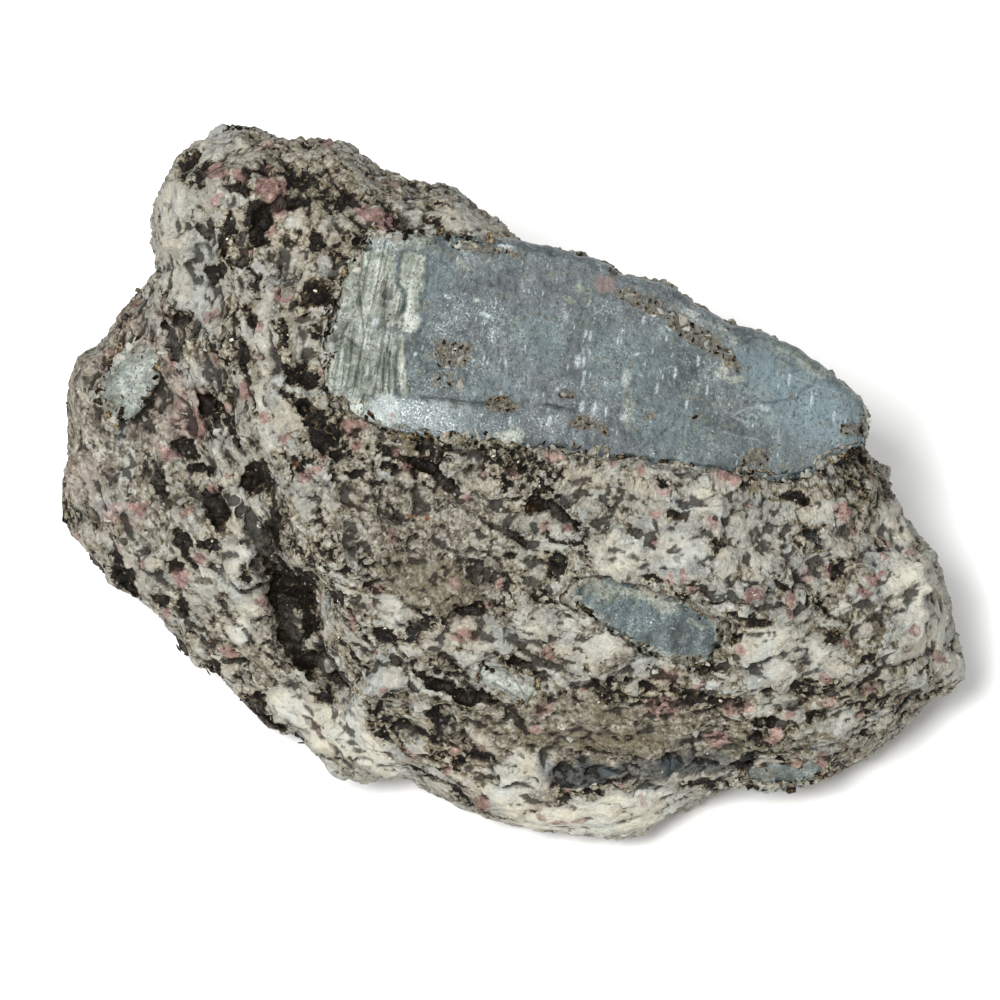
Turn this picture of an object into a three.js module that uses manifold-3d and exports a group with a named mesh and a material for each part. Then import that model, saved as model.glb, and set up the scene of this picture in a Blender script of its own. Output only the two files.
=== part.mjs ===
// Kyanite in matrix: a loose hand specimen of garnet-biotite gneiss, with blue-grey kyanite blades in it.
//
// Millimetres. The rock is shaped in its display frame, (u, v, w): u runs to the right and v up across the
// display face, and w comes out of the face. The display frame leans back, so that the rock lies on the flat
// break of its underside with +Z up, and the face looks up and forwards, towards -Y.
//
// The matrix is an icosahedron sphere pushed out, ray by ray, to where the break faces, the outline and the
// underside meet. Garnets, mica books and feldspar crystals are grown into it. The kyanite blades are prisms
// with cleavage steps, and each sits in a pocket of the matrix.
import * as THREE from "three";
import { ConvexGeometry } from "three/addons/geometries/ConvexGeometry.js";
import { ImprovedNoise } from "three/addons/math/ImprovedNoise.js";
import { mergeVertices } from "three/addons/utils/BufferGeometryUtils.js";
import Module from "manifold-3d";

const wasm = await Module();
wasm.setup();

// ---- Driving dimensions ----

const FACE_ELEVATION = 62; // degrees above the horizon that the display face looks towards
const UNDERSIDE_DEPTH = 22.5; // the flat underside lies this far below the display frame's origin
const POCKET_GAP = 0.3; // clearance between a blade and the matrix round it
const POCKET_OPENING = 6; // a pocket goes on up this far past its blade, so that no rock lies over it
const SPHERE_DETAIL = 18; // 20 * (18 + 1)^2 = 7220 faces on the matrix before it is cut
const HEART = new THREE.Vector3(0, 0, -7); // every ray starts here, inside the rock
const STRETCH = new THREE.Vector3(40, 29, 20); // rough half sizes of the rock, which even out the faces

const elevation = THREE.MathUtils.degToRad(FACE_ELEVATION);

// ---- Outline of the matrix, square on to the display face, anticlockwise from the knob's tip ----

const OUTLINE = [
  [-23.5, 33.2], [-28, 31.4], [-30.6, 27.2], [-30.4, 20.5], [-33.3, 16.2], [-37.6, 12], [-38.2, 7],
  [-38.7, 1], [-38.2, -4], [-35, -5.4], [-33.6, -7.9], [-31, -8.9], [-28.3, -12.4], [-25.4, -15.3],
  [-20.8, -19.9], [-17.5, -21], [-12.5, -23.9], [-8, -24.5], [-5.5, -26], [-1.8, -27.5], [0.5, -28.3],
  [6, -29.6], [11, -29], [16, -27.5], [20.5, -25.5], [27, -25.4], [31.5, -23.4], [35.4, -20.9],
  [37.6, -18.2], [40.3, -16.8], [41.5, -14.6], [40, -11], [38.2, -4.6], [35.8, -1.6], [34.6, 0.8],
  [33.6, 3.2], [31.6, 5.2], [30.4, 8], [27, 10.8], [22, 13.4], [16, 16.2], [10, 18.2], [3.5, 20.6],
  [1.2, 22.9], [-2.4, 25.9], [-5.2, 27.4], [-7.4, 27.2], [-11.2, 30.2], [-15, 31.8], [-19.5, 32],
];

// ---- Break faces: w = at[2] + slope . ((u, v) - at) ----

const MAIN_FACES = [
  { name: "kyanite bed, across the top right", at: [0, 14, 8.6], slope: [-0.2, -0.14] },
  { name: "foliated lower face", at: [0, 4, 9.6], slope: [-0.18, 0.1] },
  { name: "turn down to the bottom edge", at: [0, -18, 7.2], slope: [-0.15, 0.85] },
  { name: "right end", at: [30, -5, 2.9], slope: [-0.62, 0.2] },
  { name: "back of the knob", at: [-16, 24.5, 10.4], slope: [-0.1, -0.85] },
  { name: "hollow behind the blade", at: [-7, 24, 7.4], slope: [-0.4, -0.9] },
  { name: "upper flank of the ridge", at: [-26.5, 20, 12], slope: [1.25, 0.5] },
  { name: "lower flank of the ridge", at: [-20, 1, 11.8], slope: [2.9, 1.6] },
  { name: "lower left face", at: [-13.5, -11, 9.6], slope: [0.85, 0.8] },
];
const LOBE_FACES = [
  { name: "top of the left lobe", at: [-30, 2, 1.4], slope: [0.22, -0.09] },
  { name: "shoulder of the left lobe", at: [-31, 12, 0.6], slope: [0.5, -0.75] },
  { name: "underslope of the left lobe", at: [-27, -8, -0.2], slope: [0.38, 0.62] },
];
const UNDER_FACES = [
  { name: "back wall", at: [0, 31, -9], slope: [0, 2] },
  { name: "back of the left lobe", at: [-38, 10, -12], slope: [-1.3, 1] },
  { name: "back of the right end", at: [36, 0, -14], slope: [1, 1.5] },
];
const FACE_BLEND = 1.6; // how far the edge between two break faces is worn round
const FRONT_ROUNDING = { reach: 11, rise: 13.5 }; // quarter ellipse from the outline up to the break faces
const UNDER_ROUNDING = { reach: 15, rise: 30 }; // and from the outline down to the underside

// ---- Relief: lumps stand out and pits sink in, both along the ray ----

const RELIEF = [
  { name: "feldspar mass on the bottom edge", at: [2.5, -25], reach: 3.4, height: 1.3 },
  { name: "feldspar tongue, lower left", at: [-14, -21.5], reach: 3.2, height: 1.3 },
  { name: "feldspar band on the bottom edge", at: [11, -28], reach: 3.4, height: 1.1 },
  { name: "feldspar knot right of the blade", at: [24, -13], reach: 3.4, height: 1.2 },
  { name: "feldspar knot under the blade", at: [11, -4.5], reach: 2.8, height: 1 },
  { name: "feldspar knot, right end", at: [36.5, -9], reach: 3.2, height: 1 },
  { name: "boss at the knob's shoulder", at: [-27, 25], reach: 3, height: 1.3 },
  { name: "boss on the knob's crest", at: [-20, 28], reach: 3, height: 1.1 },
  { name: "second knob", at: [-4.5, 25.4], reach: 2.4, height: 0.7 },
  { name: "boss on the lobe", at: [-34, 9], reach: 3.6, height: 1.2 },
  { name: "boss on the lobe's rim", at: [-33, -4], reach: 3.4, height: 1.1 },
  { name: "white band beside the ridge", at: [-23.5, -3], reach: 3, height: 1.2 },
  { name: "mica hollow under the blade", at: [-6.5, 1.4], reach: 2.6, height: -1.9 },
  { name: "garnet pit", at: [-2.3, -9.7], reach: 1.9, height: -1.6 },
  { name: "pit beside the knob", at: [-25.5, 19.8], reach: 1.8, height: -2 },
  { name: "hollow against the ridge", at: [-18.6, -9], reach: 2.8, height: -2.4 },
  { name: "hollow below the ridge", at: [-14.6, -15.5], reach: 2.4, height: -1.4 },
  { name: "hollow on the lobe", at: [-29, 1], reach: 3, height: -1.6 },
  { name: "gully along the bottom band", at: [10, -23], reach: 3.4, height: -1.5 },
  { name: "gully, right part", at: [18, -22.6], reach: 3, height: -1.1 },
];
const SWELL_HEIGHT = 1.2; // slow swells of the broken surface
const SWELL_LENGTH = 12;
const CRAG_TILT = 0.28; // small break facets, each tilted its own way
const CRAG_SIZE = 5.4;
const GRAIN_HEIGHT = 0.55; // grain-sized roughness
const GRAIN_LENGTH = 2.4;
const LEDGE_HEIGHT = 0.9; // ledges where the layers of the rock broke one after another
const LEDGE_SPACING = 5.2;
const LAYER_NORMAL = new THREE.Vector3(0.22, 0.86, 0.46).normalize(); // across the layers of the gneiss
const EDGE_CALM = 0.5; // share of the small relief that is left right at the outline

// ---- Kyanite blades ----
// Each has its own frame: x along the blade, y across it, z out of its broad face, from -thickness to 0.
// A sheet is one cleavage layer, from the blade's back to its own top height.

/** A cleavage layer with parallel sides across the blade and slanted ends. */
function strip(top, [x0, x1], [y0, y1], slant = 0.2) {
  return { top, outline: [[x0, y0], [x1, y0 - slant], [x1, y1], [x0, y1 - slant]] };
}

const MAIN_BLADE = {
  name: "kyanite_blade_main",
  at: [8, 12.5, 7.7],
  turn: -11,
  slope: [-0.2, -0.14],
  thickness: 5,
  colour: "#71808c",
  sheets: [
    { top: -1.5, outline: [[-23, -3.5], [-22.2, -7.4], [-20.2, -8.6], [-15.8, -9.5], [-11.5, -9.2],
      [-4.4, -8.8], [2.1, -8.3], [10.7, -7.7], [14.6, -7.3], [17.8, -7.6], [20, -6.7], [22.5, -4.6],
      [24.7, -2.8], [24.9, -0.9], [24, 0.8], [20.5, 2.7], [17.6, 4], [14.3, 5], [11.6, 4.9], [8.5, 6],
      [5.2, 7.4], [1.1, 7.5], [-0.2, 8.2], [-4.7, 8.5], [-8.6, 8.7], [-15.8, 7.7], [-21, 7],
      [-22.3, 3.4]] },
    strip(-1.1, [-22.4, -21.3], [-6.6, 2.6]),
    strip(-0.75, [-21.3, -20.2], [-7.3, 5.6]),
    strip(-1, [-20.2, -19.2], [-7.9, 6.4]),
    strip(-0.4, [-19.2, -18.4], [-6.9, 6.9]),
    strip(-0.65, [-18.4, -17.3], [-7.6, 7.1]),
    { top: -1, outline: [[-17.3, -8.6], [-11, -8.8], [-4.2, -8.2], [3, -7.9], [3, 5], [-17.3, 6.6]] },
    { top: -0.5, outline: [[-17.3, -6.4], [-11.6, -6.9], [-5, -6.6], [4, -6.7], [4, 5], [-17.3, 6.9]] },
    { top: 0, outline: [[-17.4, -5.2], [-11.4, -5.6], [-5.6, -4.6], [-1.4, -4.9], [1.9, -6.4],
      [4.4, -7.6], [10.6, -7.2], [15.2, -6.8], [18.6, -6.6], [22, -4.2], [24.3, -2.4], [24.4, -0.8],
      [20.3, 2.2], [17.4, 3.5], [14, 4.5], [11.2, 4.5], [8.2, 5.5], [5, 6.9], [1, 7], [-4.6, 8],
      [-8.5, 8.2], [-15.6, 7.2], [-16.6, 3]] },
    strip(0.25, [-16.9, -16], [-4.9, -0.2]),
    { top: 0.5, outline: [[-17.2, 1], [-16.1, 0.6], [-14.7, 1.2], [-14.9, 4.4], [-14.2, 7], [-15.4, 7.2],
      [-16.8, 5]] },
    { top: 0.35, outline: [[13.4, -1.2], [19, -2.6], [23.6, -1.9], [20, 1.4], [15.4, 2.9], [12.9, 1.4]] },
  ],
};
const LOWER_BLADE = {
  name: "kyanite_blade_lower",
  at: [12.7, -10.3, 8],
  turn: -21,
  slope: [-0.2, 0.06],
  thickness: 3.2,
  colour: "#5f727f",
  sheets: [
    { top: -0.3, outline: [[-7.2, -0.9], [-3.4, -1.7], [1, -2.5], [5, -2.3], [6.6, -1], [7.2, 0.8], [7, 2],
      [3.4, 2.2], [-0.6, 2.4], [-4.2, 2.1], [-6.6, 1]] },
    { top: 0.3, outline: [[-5.6, 0], [-3, -0.9], [2, -0.9], [6.4, 0], [6.2, 1.6], [1, 1.8], [-3.8, 1.7]] },
  ],
};
const PALE_PRISM = {
  name: "kyanite_prism_pale",
  at: [1.1, -16.4, 7.9],
  turn: -27,
  slope: [-0.25, 0.2],
  thickness: 2.2,
  colour: "#a9b7b0",
  sheets: [
    { top: 0.1, outline: [[-3, -0.6], [-1.4, -1.05], [2, -1.05], [2, 1.05], [-1.4, 1.05], [-2.9, 0.5]] },
    strip(0.6, [-1, 1.9], [-1, 0.5], 0),
    strip(0.8, [-0.2, 1.5], [-0.5, 0.3], 0),
  ],
};
const LOBE_BLADE = {
  name: "kyanite_blade_lobe",
  at: [-32.6, 10.6, 1.9],
  turn: 58,
  slope: [0.35, -0.3],
  thickness: 3.6,
  colour: "#7d8f93",
  sheets: [
    { top: 0, outline: [[-3.6, -0.8], [-2, -1.9], [1.6, -1.8], [3.4, -0.6], [3.3, 1], [1.2, 2],
      [-2.6, 1.6]] },
    { top: 0.5, outline: [[-2.6, -0.9], [1.8, -1.1], [2.6, 0.2], [0.8, 1.2], [-2.2, 0.8]] },
  ],
};
const EDGE_BLADE = {
  name: "kyanite_blade_edge",
  at: [25.2, -24.2, -2.6],
  turn: 4,
  slope: [-0.15, 0.9],
  thickness: 3,
  colour: "#98a9ab",
  sheets: [
    { top: 0, outline: [[-3.4, -0.3], [-1.6, -1], [1.8, -0.9], [3.4, 0.1], [2.4, 1.1], [-1.2, 1.3],
      [-3, 0.9]] },
  ],
};
const BLADES = [MAIN_BLADE, LOWER_BLADE, PALE_PRISM, LOBE_BLADE, EDGE_BLADE];

// ---- Crystals grown into the matrix: [u, v, half width, turn] ----

const GARNETS = [
  [-20, 27.5, 1.3, 10], [-23, 28.5, 1, 40], [-11, 25, 1.3, 65], [-27.3, 7.6, 1.1, 20], [-28, -1.2, 1.1, 50],
  [-12.9, 5.6, 1.1, 15], [20, 1.2, 1.1, 30], [30.3, -1.4, 1, 5], [22, -8.6, 0.9, 75], [32.6, -7.4, 1.2, 25],
  [29, -12, 0.9, 12], [19, -21.2, 1.2, 48], [24, -20.8, 1.2, 8], [27.2, -22.6, 1.1, 33], [4.4, -13.4, 1, 22],
  [-2.6, -21.6, 1.2, 70], [14, -18, 1, 18], [-1.6, -26, 0.9, 44], [14.6, 0.6, 0.9, 62], [-23, -12, 1, 36],
];
const MICA_BOOKS = [
  [-5.8, 0.9, 2, -28], [1.6, -3.4, 1.5, -24], [-17.4, 10.4, 1.4, 15], [-16.6, 17.6, 1.3, 70],
  [-30, -5, 1.5, 40], [29.5, -16, 1.3, -20], [-12, -8, 1.4, -50], [8.6, -14.6, 1.4, -35],
];
const FELDSPARS = [
  [22.6, -12.6, 1.8, 20], [25.4, -14.6, 1.6, 50], [9.6, -4, 1.6, 10], [-28, 23.4, 1.6, 35],
  [-24.2, 1.8, 1.6, 75], [-22.8, -6.2, 1.7, 25], [-13, -20.4, 1.8, 45], [1.4, -23.6, 1.7, 15],
  [4.4, -25.4, 1.6, 65], [35.6, -7.4, 1.5, 30], [18.4, -1.4, 1.4, 5],
];
const GARNET_HABIT = { shape: [1, 1, 1], sunk: 0.25 };
const MICA_HABIT = { shape: [1, 0.45, 0.7], sunk: 0.3 }; // stands on edge in the layers
const FELDSPAR_HABIT = { shape: [1.2, 0.9, 0.8], sunk: 0.55 }; // a cleavage block

// ---- Shape of the matrix ----

const noise = new ImprovedNoise();

/** The smaller of two heights, with the edge between them worn round over a width. */
function roundedMin(a, b, width) {
  const h = THREE.MathUtils.clamp(0.5 + (0.5 * (b - a)) / width, 0, 1);
  return THREE.MathUtils.lerp(b, a, h) - width * h * (1 - h);
}

function roundedMax(a, b, width) {
  return -roundedMin(-a, -b, width);
}

function faceHeight(face, u, v) {
  return face.at[2] + face.slope[0] * (u - face.at[0]) + face.slope[1] * (v - face.at[1]);
}

function lowestFace(faces, u, v) {
  return faces.map((face) => faceHeight(face, u, v)).reduce((a, b) => roundedMin(a, b, FACE_BLEND));
}

/** Distance from (u, v) in to the outline: positive inside it. */
function depthInside(u, v) {
  let nearest = Infinity;
  let inside = false;
  for (let i = 0, j = OUTLINE.length - 1; i < OUTLINE.length; j = i++) {
    const [au, av] = OUTLINE[j];
    const [bu, bv] = OUTLINE[i];
    const along = ((u - au) * (bu - au) + (v - av) * (bv - av)) / ((bu - au) ** 2 + (bv - av) ** 2);
    const t = THREE.MathUtils.clamp(along, 0, 1);
    nearest = Math.min(nearest, Math.hypot(u - au - t * (bu - au), v - av - t * (bv - av)));
    if (av > v !== bv > v && u < ((bu - au) * (v - av)) / (bv - av) + au) inside = !inside;
  }
  return inside ? nearest : -nearest;
}

/** Height of a quarter ellipse, this far in from its foot; past its reach it goes on up, out of the way. */
function roundRise(distance, { reach, rise }) {
  if (distance >= reach) return rise + distance - reach;
  return rise * Math.sqrt(1 - (1 - distance / reach) ** 2);
}

/**
 * True inside the rock, before its relief. The rim is the depth of the outline itself: the ends and the bottom
 * lie low, and a shelf stands up behind the main blade.
 */
function isRock(u, v, w) {
  const inward = depthInside(u, v);
  if (inward <= 0) return false;
  const shelf = 4.8 * Math.exp(-(((u - 10) / 17) ** 2) - ((v - 19) / 6) ** 2);
  const rim = -4.5 + 0.09 * v - 0.07 * Math.abs(u) + shelf;
  const front = roundedMax(lowestFace(MAIN_FACES, u, v), lowestFace(LOBE_FACES, u, v), FACE_BLEND);
  if (w > roundedMin(front, rim + roundRise(inward, FRONT_ROUNDING), FACE_BLEND)) return false;
  const backs = UNDER_FACES.map((face) => faceHeight(face, u, v));
  const under = backs.reduce((a, b) => roundedMax(a, b, FACE_BLEND));
  return w > roundedMax(under, rim - roundRise(inward, UNDER_ROUNDING), FACE_BLEND);
}

/** Distance along the ray from the heart to the rock's surface. */
function surfaceDistance(direction) {
  const point = new THREE.Vector3();
  let low = 0;
  let high = 60;
  for (let step = 0; step < 22; step++) {
    const middle = (low + high) / 2;
    point.copy(HEART).addScaledVector(direction, middle);
    if (isRock(point.x, point.y, point.z)) low = middle;
    else high = middle;
  }
  return low;
}

/** Three numbers from 0 to 1, always the same for the same cell of a grid. */
function cellRandom(x, y, z) {
  return [12.9898, 78.233, 37.719].map((seed, i) => {
    const wave = Math.sin(x * seed + y * 39.425 + z * 93.9737 + i * 11.135) * 43758.5453;
    return wave - Math.floor(wave);
  });
}

/** Broken facets: every cell round a scattered seed is a little plane tilted its own way. */
function crag(point) {
  const grid = point.clone().divideScalar(CRAG_SIZE);
  const home = grid.clone().floor();
  let nearest = Infinity;
  let height = 0;
  for (let i = 0; i < 27; i++) {
    const step = new THREE.Vector3((i % 3) - 1, (Math.floor(i / 3) % 3) - 1, Math.floor(i / 9) - 1);
    const cell = home.clone().add(step);
    const jitter = new THREE.Vector3(...cellRandom(cell.x, cell.y, cell.z));
    const offset = grid.clone().sub(cell).sub(jitter);
    if (offset.lengthSq() >= nearest) continue;
    nearest = offset.lengthSq();
    const tilt = new THREE.Vector3(...cellRandom(cell.z + 5, cell.x + 9, cell.y + 2)).subScalar(0.5);
    height = 2 * CRAG_TILT * CRAG_SIZE * tilt.dot(offset);
  }
  return height;
}

/** How far lumps, pits, ledges and crags push the surface out at a point. */
function relief(point) {
  const lumps = RELIEF.reduce((sum, spot) => {
    const away = Math.hypot(point.x - spot.at[0], point.y - spot.at[1]) / spot.reach;
    return point.z > HEART.z ? sum + spot.height * Math.exp(-away * away) : sum;
  }, 0);
  const at = (length) => noise.noise(point.x / length + 7.3, point.y / length + 2.1, point.z / length + 5.7);
  const layer = point.dot(LAYER_NORMAL) / LEDGE_SPACING + 0.9 * at(11);
  const ledge = LEDGE_HEIGHT * (layer - Math.floor(layer) - 0.5);
  const inward = THREE.MathUtils.smoothstep(depthInside(point.x, point.y), 0, 4);
  const rough = ledge + SWELL_HEIGHT * at(SWELL_LENGTH) + crag(point) + GRAIN_HEIGHT * at(GRAIN_LENGTH);
  return lumps + THREE.MathUtils.lerp(EDGE_CALM, 1, inward) * rough;
}

/** The surface, with its relief, along a ray from the heart. */
function surfacePoint(direction) {
  const point = HEART.clone().addScaledVector(direction, surfaceDistance(direction));
  return point.addScaledVector(direction, relief(point));
}

function matrixGeometry() {
  const geometry = new THREE.IcosahedronGeometry(1, SPHERE_DETAIL);
  const positions = geometry.attributes.position;
  for (let i = 0; i < positions.count; i++) {
    const direction = new THREE.Vector3().fromBufferAttribute(positions, i).multiply(STRETCH).normalize();
    positions.setXYZ(i, ...surfacePoint(direction).toArray());
  }
  return geometry;
}

/** The point of the display face at (u, v): the ray is aimed again until it comes out there. */
function facePoint(u, v) {
  const point = new THREE.Vector3(u, v, 6);
  for (let aim = 0; aim < 6; aim++) {
    const landed = surfacePoint(point.clone().sub(HEART).normalize());
    point.set(point.x + u - landed.x, point.y + v - landed.y, landed.z);
  }
  return surfacePoint(point.sub(HEART).normalize());
}

// ---- Solids ----

function toSolid(geometry) {
  const bare = new THREE.BufferGeometry();
  const loose = geometry.index ? geometry.toNonIndexed() : geometry;
  bare.setAttribute("position", loose.getAttribute("position"));
  const merged = mergeVertices(bare, 1e-3);
  return new wasm.Manifold(
    new wasm.Mesh({
      numProp: 3,
      vertProperties: merged.attributes.position.array,
      triVerts: new Uint32Array(merged.index.array),
    }),
  );
}

function toGeometry(solid) {
  const mesh = solid.getMesh();
  const positions = new Float32Array(mesh.numVert * 3);
  for (let i = 0; i < mesh.numVert; i++) {
    positions.set(mesh.vertProperties.subarray(i * mesh.numProp, i * mesh.numProp + 3), i * 3);
  }
  const geometry = new THREE.BufferGeometry();
  geometry.setAttribute("position", new THREE.BufferAttribute(positions, 3));
  geometry.setIndex(new THREE.BufferAttribute(mesh.triVerts, 1));
  return geometry;
}

/** An outline grown outwards by a gap, corner by corner. */
function grown(outline, gap) {
  return outline.map((corner, i) => {
    const before = new THREE.Vector2(...outline.at(i - 1));
    const here = new THREE.Vector2(...corner);
    const after = new THREE.Vector2(...outline[(i + 1) % outline.length]);
    const normals = [here.clone().sub(before), after.clone().sub(here)].map((edge) =>
      new THREE.Vector2(edge.y, -edge.x).normalize(),
    );
    const bisector = normals[0].add(normals[1]);
    const reach = (2 * gap) / Math.max(bisector.lengthSq(), 0.5);
    return here.addScaledVector(bisector, reach).toArray();
  });
}

/** Rhombic dodecahedron, the usual habit of garnet. */
function garnetGeometry() {
  const corners = [];
  for (const x of [-1, 1]) {
    for (const y of [-1, 1]) {
      for (const z of [-1, 1]) corners.push(new THREE.Vector3(x, y, z));
    }
  }
  for (const end of [-2, 2]) {
    corners.push(new THREE.Vector3(end, 0, 0), new THREE.Vector3(0, end, 0), new THREE.Vector3(0, 0, end));
  }
  return new ConvexGeometry(corners.map((corner) => corner.multiplyScalar(0.62)));
}

/** Crystals of one habit, each sunk into the face. */
function grownCrystals(form, habit, places) {
  return places.map(([u, v, halfWidth, turn]) => {
    const crystal = form.clone().scale(...habit.shape.map((share) => share * halfWidth));
    crystal.rotateX(THREE.MathUtils.degToRad(18 + turn / 3));
    crystal.rotateZ(THREE.MathUtils.degToRad(turn));
    const surface = facePoint(u, v);
    const inward = HEART.clone().sub(surface).setLength(habit.sunk * halfWidth);
    return toSolid(crystal.translate(...surface.add(inward).toArray()));
  });
}

/** A blade, or the pocket that clears it by a gap and opens above it, sheared as triclinic crystals are. */
function bladeSolid(blade, gap = 0, opening = 0) {
  const sheets = blade.sheets.map((sheet) => {
    const corners = grown(sheet.outline, gap).map((corner) => new THREE.Vector2(...corner));
    const depth = blade.thickness + sheet.top + gap + opening;
    const geometry = new THREE.ExtrudeGeometry(new THREE.Shape(corners), { depth, bevelEnabled: false });
    return toSolid(geometry.translate(0, 0, -blade.thickness - gap));
  });
  const prism = toGeometry(sheets.reduce((a, b) => a.add(b)));
  prism.rotateZ(THREE.MathUtils.degToRad(blade.turn));
  const [du, dv] = blade.slope;
  prism.applyMatrix4(new THREE.Matrix4().set(1, 0, 0, 0, 0, 1, 0, 0, du, dv, 1, 0, 0, 0, 0, 1));
  return toSolid(prism.translate(...blade.at));
}

/** Everything below the underside, as a slab that turns with the display frame. */
function belowUnderside() {
  const slab = new THREE.BoxGeometry(200, 200, 100).translate(0, 0, -50 - UNDERSIDE_DEPTH);
  return toSolid(slab.rotateX(elevation - Math.PI / 2));
}

function mineral(name, solid, colour, roughness) {
  const material = new THREE.MeshStandardMaterial({ color: colour, roughness, metalness: 0 });
  const mesh = new THREE.Mesh(toGeometry(solid), material);
  mesh.name = name;
  return mesh;
}

const pockets = BLADES.map((blade) => bladeSolid(blade, POCKET_GAP, POCKET_OPENING));
const crystals = [
  ...grownCrystals(garnetGeometry(), GARNET_HABIT, GARNETS),
  ...grownCrystals(new THREE.CylinderGeometry(1, 1, 2, 6), MICA_HABIT, MICA_BOOKS),
  ...grownCrystals(new THREE.BoxGeometry(2, 2, 2), FELDSPAR_HABIT, FELDSPARS),
];
const rock = crystals.reduce((grownRock, crystal) => grownRock.add(crystal), toSolid(matrixGeometry()));
const matrix = pockets.reduce((remaining, pocket) => remaining.subtract(pocket), rock);

const display = new THREE.Group();
display.add(mineral("gneiss_matrix", matrix.subtract(belowUnderside()), "#7c7870", 0.85));
for (const blade of BLADES) {
  display.add(mineral(blade.name, bladeSolid(blade), blade.colour, 0.4));
}
display.rotation.x = Math.PI / 2 - elevation;
display.position.z = UNDERSIDE_DEPTH;

// The row's origin is under the middle of the whole specimen.
const specimen = new THREE.Group();
specimen.add(display);
specimen.updateMatrixWorld(true);
const middle = new THREE.Box3().setFromObject(specimen, true).getCenter(new THREE.Vector3());
display.position.x -= middle.x;
display.position.y -= middle.y;

export default specimen;
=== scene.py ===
"""Kyanite blades in a garnet and mica gneiss: the dressed specimen around its CAD frame."""

import logging
import math
from dataclasses import dataclass, field
from enum import Enum
from functools import partial
from typing import Any, Sequence

import bmesh
import bpy
import numpy as np
from mathutils import Matrix, Vector


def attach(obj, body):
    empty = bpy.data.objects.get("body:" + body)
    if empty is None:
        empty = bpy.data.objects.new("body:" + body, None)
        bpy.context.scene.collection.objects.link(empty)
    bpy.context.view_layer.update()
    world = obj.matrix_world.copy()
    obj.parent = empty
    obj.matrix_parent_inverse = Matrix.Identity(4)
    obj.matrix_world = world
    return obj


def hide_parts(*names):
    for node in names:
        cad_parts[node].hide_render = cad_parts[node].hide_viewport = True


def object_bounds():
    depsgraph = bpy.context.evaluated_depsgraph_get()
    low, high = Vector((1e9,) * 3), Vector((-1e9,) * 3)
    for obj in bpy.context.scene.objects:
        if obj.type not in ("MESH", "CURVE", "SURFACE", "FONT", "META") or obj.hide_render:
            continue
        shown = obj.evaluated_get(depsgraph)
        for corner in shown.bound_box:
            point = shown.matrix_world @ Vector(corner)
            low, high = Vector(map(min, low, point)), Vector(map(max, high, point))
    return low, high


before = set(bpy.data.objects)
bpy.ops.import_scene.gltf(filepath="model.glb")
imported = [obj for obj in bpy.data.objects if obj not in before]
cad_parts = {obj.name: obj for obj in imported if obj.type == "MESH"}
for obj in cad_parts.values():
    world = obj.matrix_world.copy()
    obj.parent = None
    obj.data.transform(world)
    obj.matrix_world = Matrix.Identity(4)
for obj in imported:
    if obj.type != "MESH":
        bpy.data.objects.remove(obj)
CAD_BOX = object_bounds()

LOG = logging.getLogger("specimen")
BODY = "root"
MM = 0.001


def linear(colour: str) -> tuple[float, float, float, float]:
    """Turns an sRGB hex colour to the linear one that shaders take.

    Args:
        colour: the colour as "#rrggbb".

    Returns:
        Linear red, green and blue, and an alpha of 1.
    """
    channels = [int(colour[i : i + 2], 16) / 255 for i in (1, 3, 5)]
    light = [c / 12.92 if c <= 0.04045 else ((c + 0.055) / 1.055) ** 2.4 for c in channels]
    return (*light, 1.0)


@dataclass(frozen=True)
class Kind:
    """A kind of node: its type, its own settings, its inputs in the order they are given, and its output."""

    type: str
    settings: dict[str, Any] = field(default_factory=dict)
    inputs: tuple[str | int, ...] = (0, 1, 2)
    out: str | int = 0


# Sums of one, two or three values. The last of MULTIPLY_ADD is added.
ADD, SUBTRACT, MULTIPLY, MULTIPLY_ADD, MAXIMUM, GREATER_THAN = (
    Kind("ShaderNodeMath", {"operation": name})
    for name in ("ADD", "SUBTRACT", "MULTIPLY", "MULTIPLY_ADD", "MAXIMUM", "GREATER_THAN")
)
VECTOR_ADD, VECTOR_SUBTRACT, VECTOR_MULTIPLY, VECTOR_MULTIPLY_ADD, NORMALIZE = (
    Kind("ShaderNodeVectorMath", {"operation": name})
    for name in ("ADD", "SUBTRACT", "MULTIPLY", "MULTIPLY_ADD", "NORMALIZE")
)
SCALE = Kind("ShaderNodeVectorMath", {"operation": "SCALE"}, (0, "Scale"))
DOT_PRODUCT = Kind("ShaderNodeVectorMath", {"operation": "DOT_PRODUCT"}, out="Value")
SPLIT = Kind("ShaderNodeSeparateXYZ")

# A value taken from one range to another, in a straight line or with soft ends.
FROM_TO = ("Value", "From Min", "From Max", "To Min", "To Max")
RANGE = Kind("ShaderNodeMapRange", inputs=FROM_TO)
SMOOTH = Kind("ShaderNodeMapRange", {"interpolation_type": "SMOOTHSTEP"}, FROM_TO)

# The share of the second, then the first and the second: of colours, or of numbers.
BLEND = Kind("ShaderNodeMix", {"data_type": "RGBA"}, (0, 6, 7), 2)
MIX = Kind("ShaderNodeMix", inputs=(0, 2, 3))

NOISE = Kind("ShaderNodeTexNoise", inputs=("Vector", "Scale", "Detail", "Roughness"))
CELL = ("Vector", "Scale", "Randomness")
CELLS = Kind("ShaderNodeTexVoronoi", {"feature": "F1"}, CELL, "Color")
CELL_EDGES = Kind("ShaderNodeTexVoronoi", {"feature": "DISTANCE_TO_EDGE"}, CELL)
RAMP = Kind("ShaderNodeValToRGB", inputs=("Fac",))
OBJECT_PLACE = Kind("ShaderNodeTexCoord", out="Object")
STORED = Kind("ShaderNodeAttribute", out="Fac")
BUMP = Kind("ShaderNodeBump", inputs=("Strength", "Distance", "Height"))
SURFACE = ("Base Color", "Roughness", "IOR", "Specular IOR Level", "Normal")
PRINCIPLED = Kind("ShaderNodeBsdfPrincipled", inputs=SURFACE)

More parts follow.
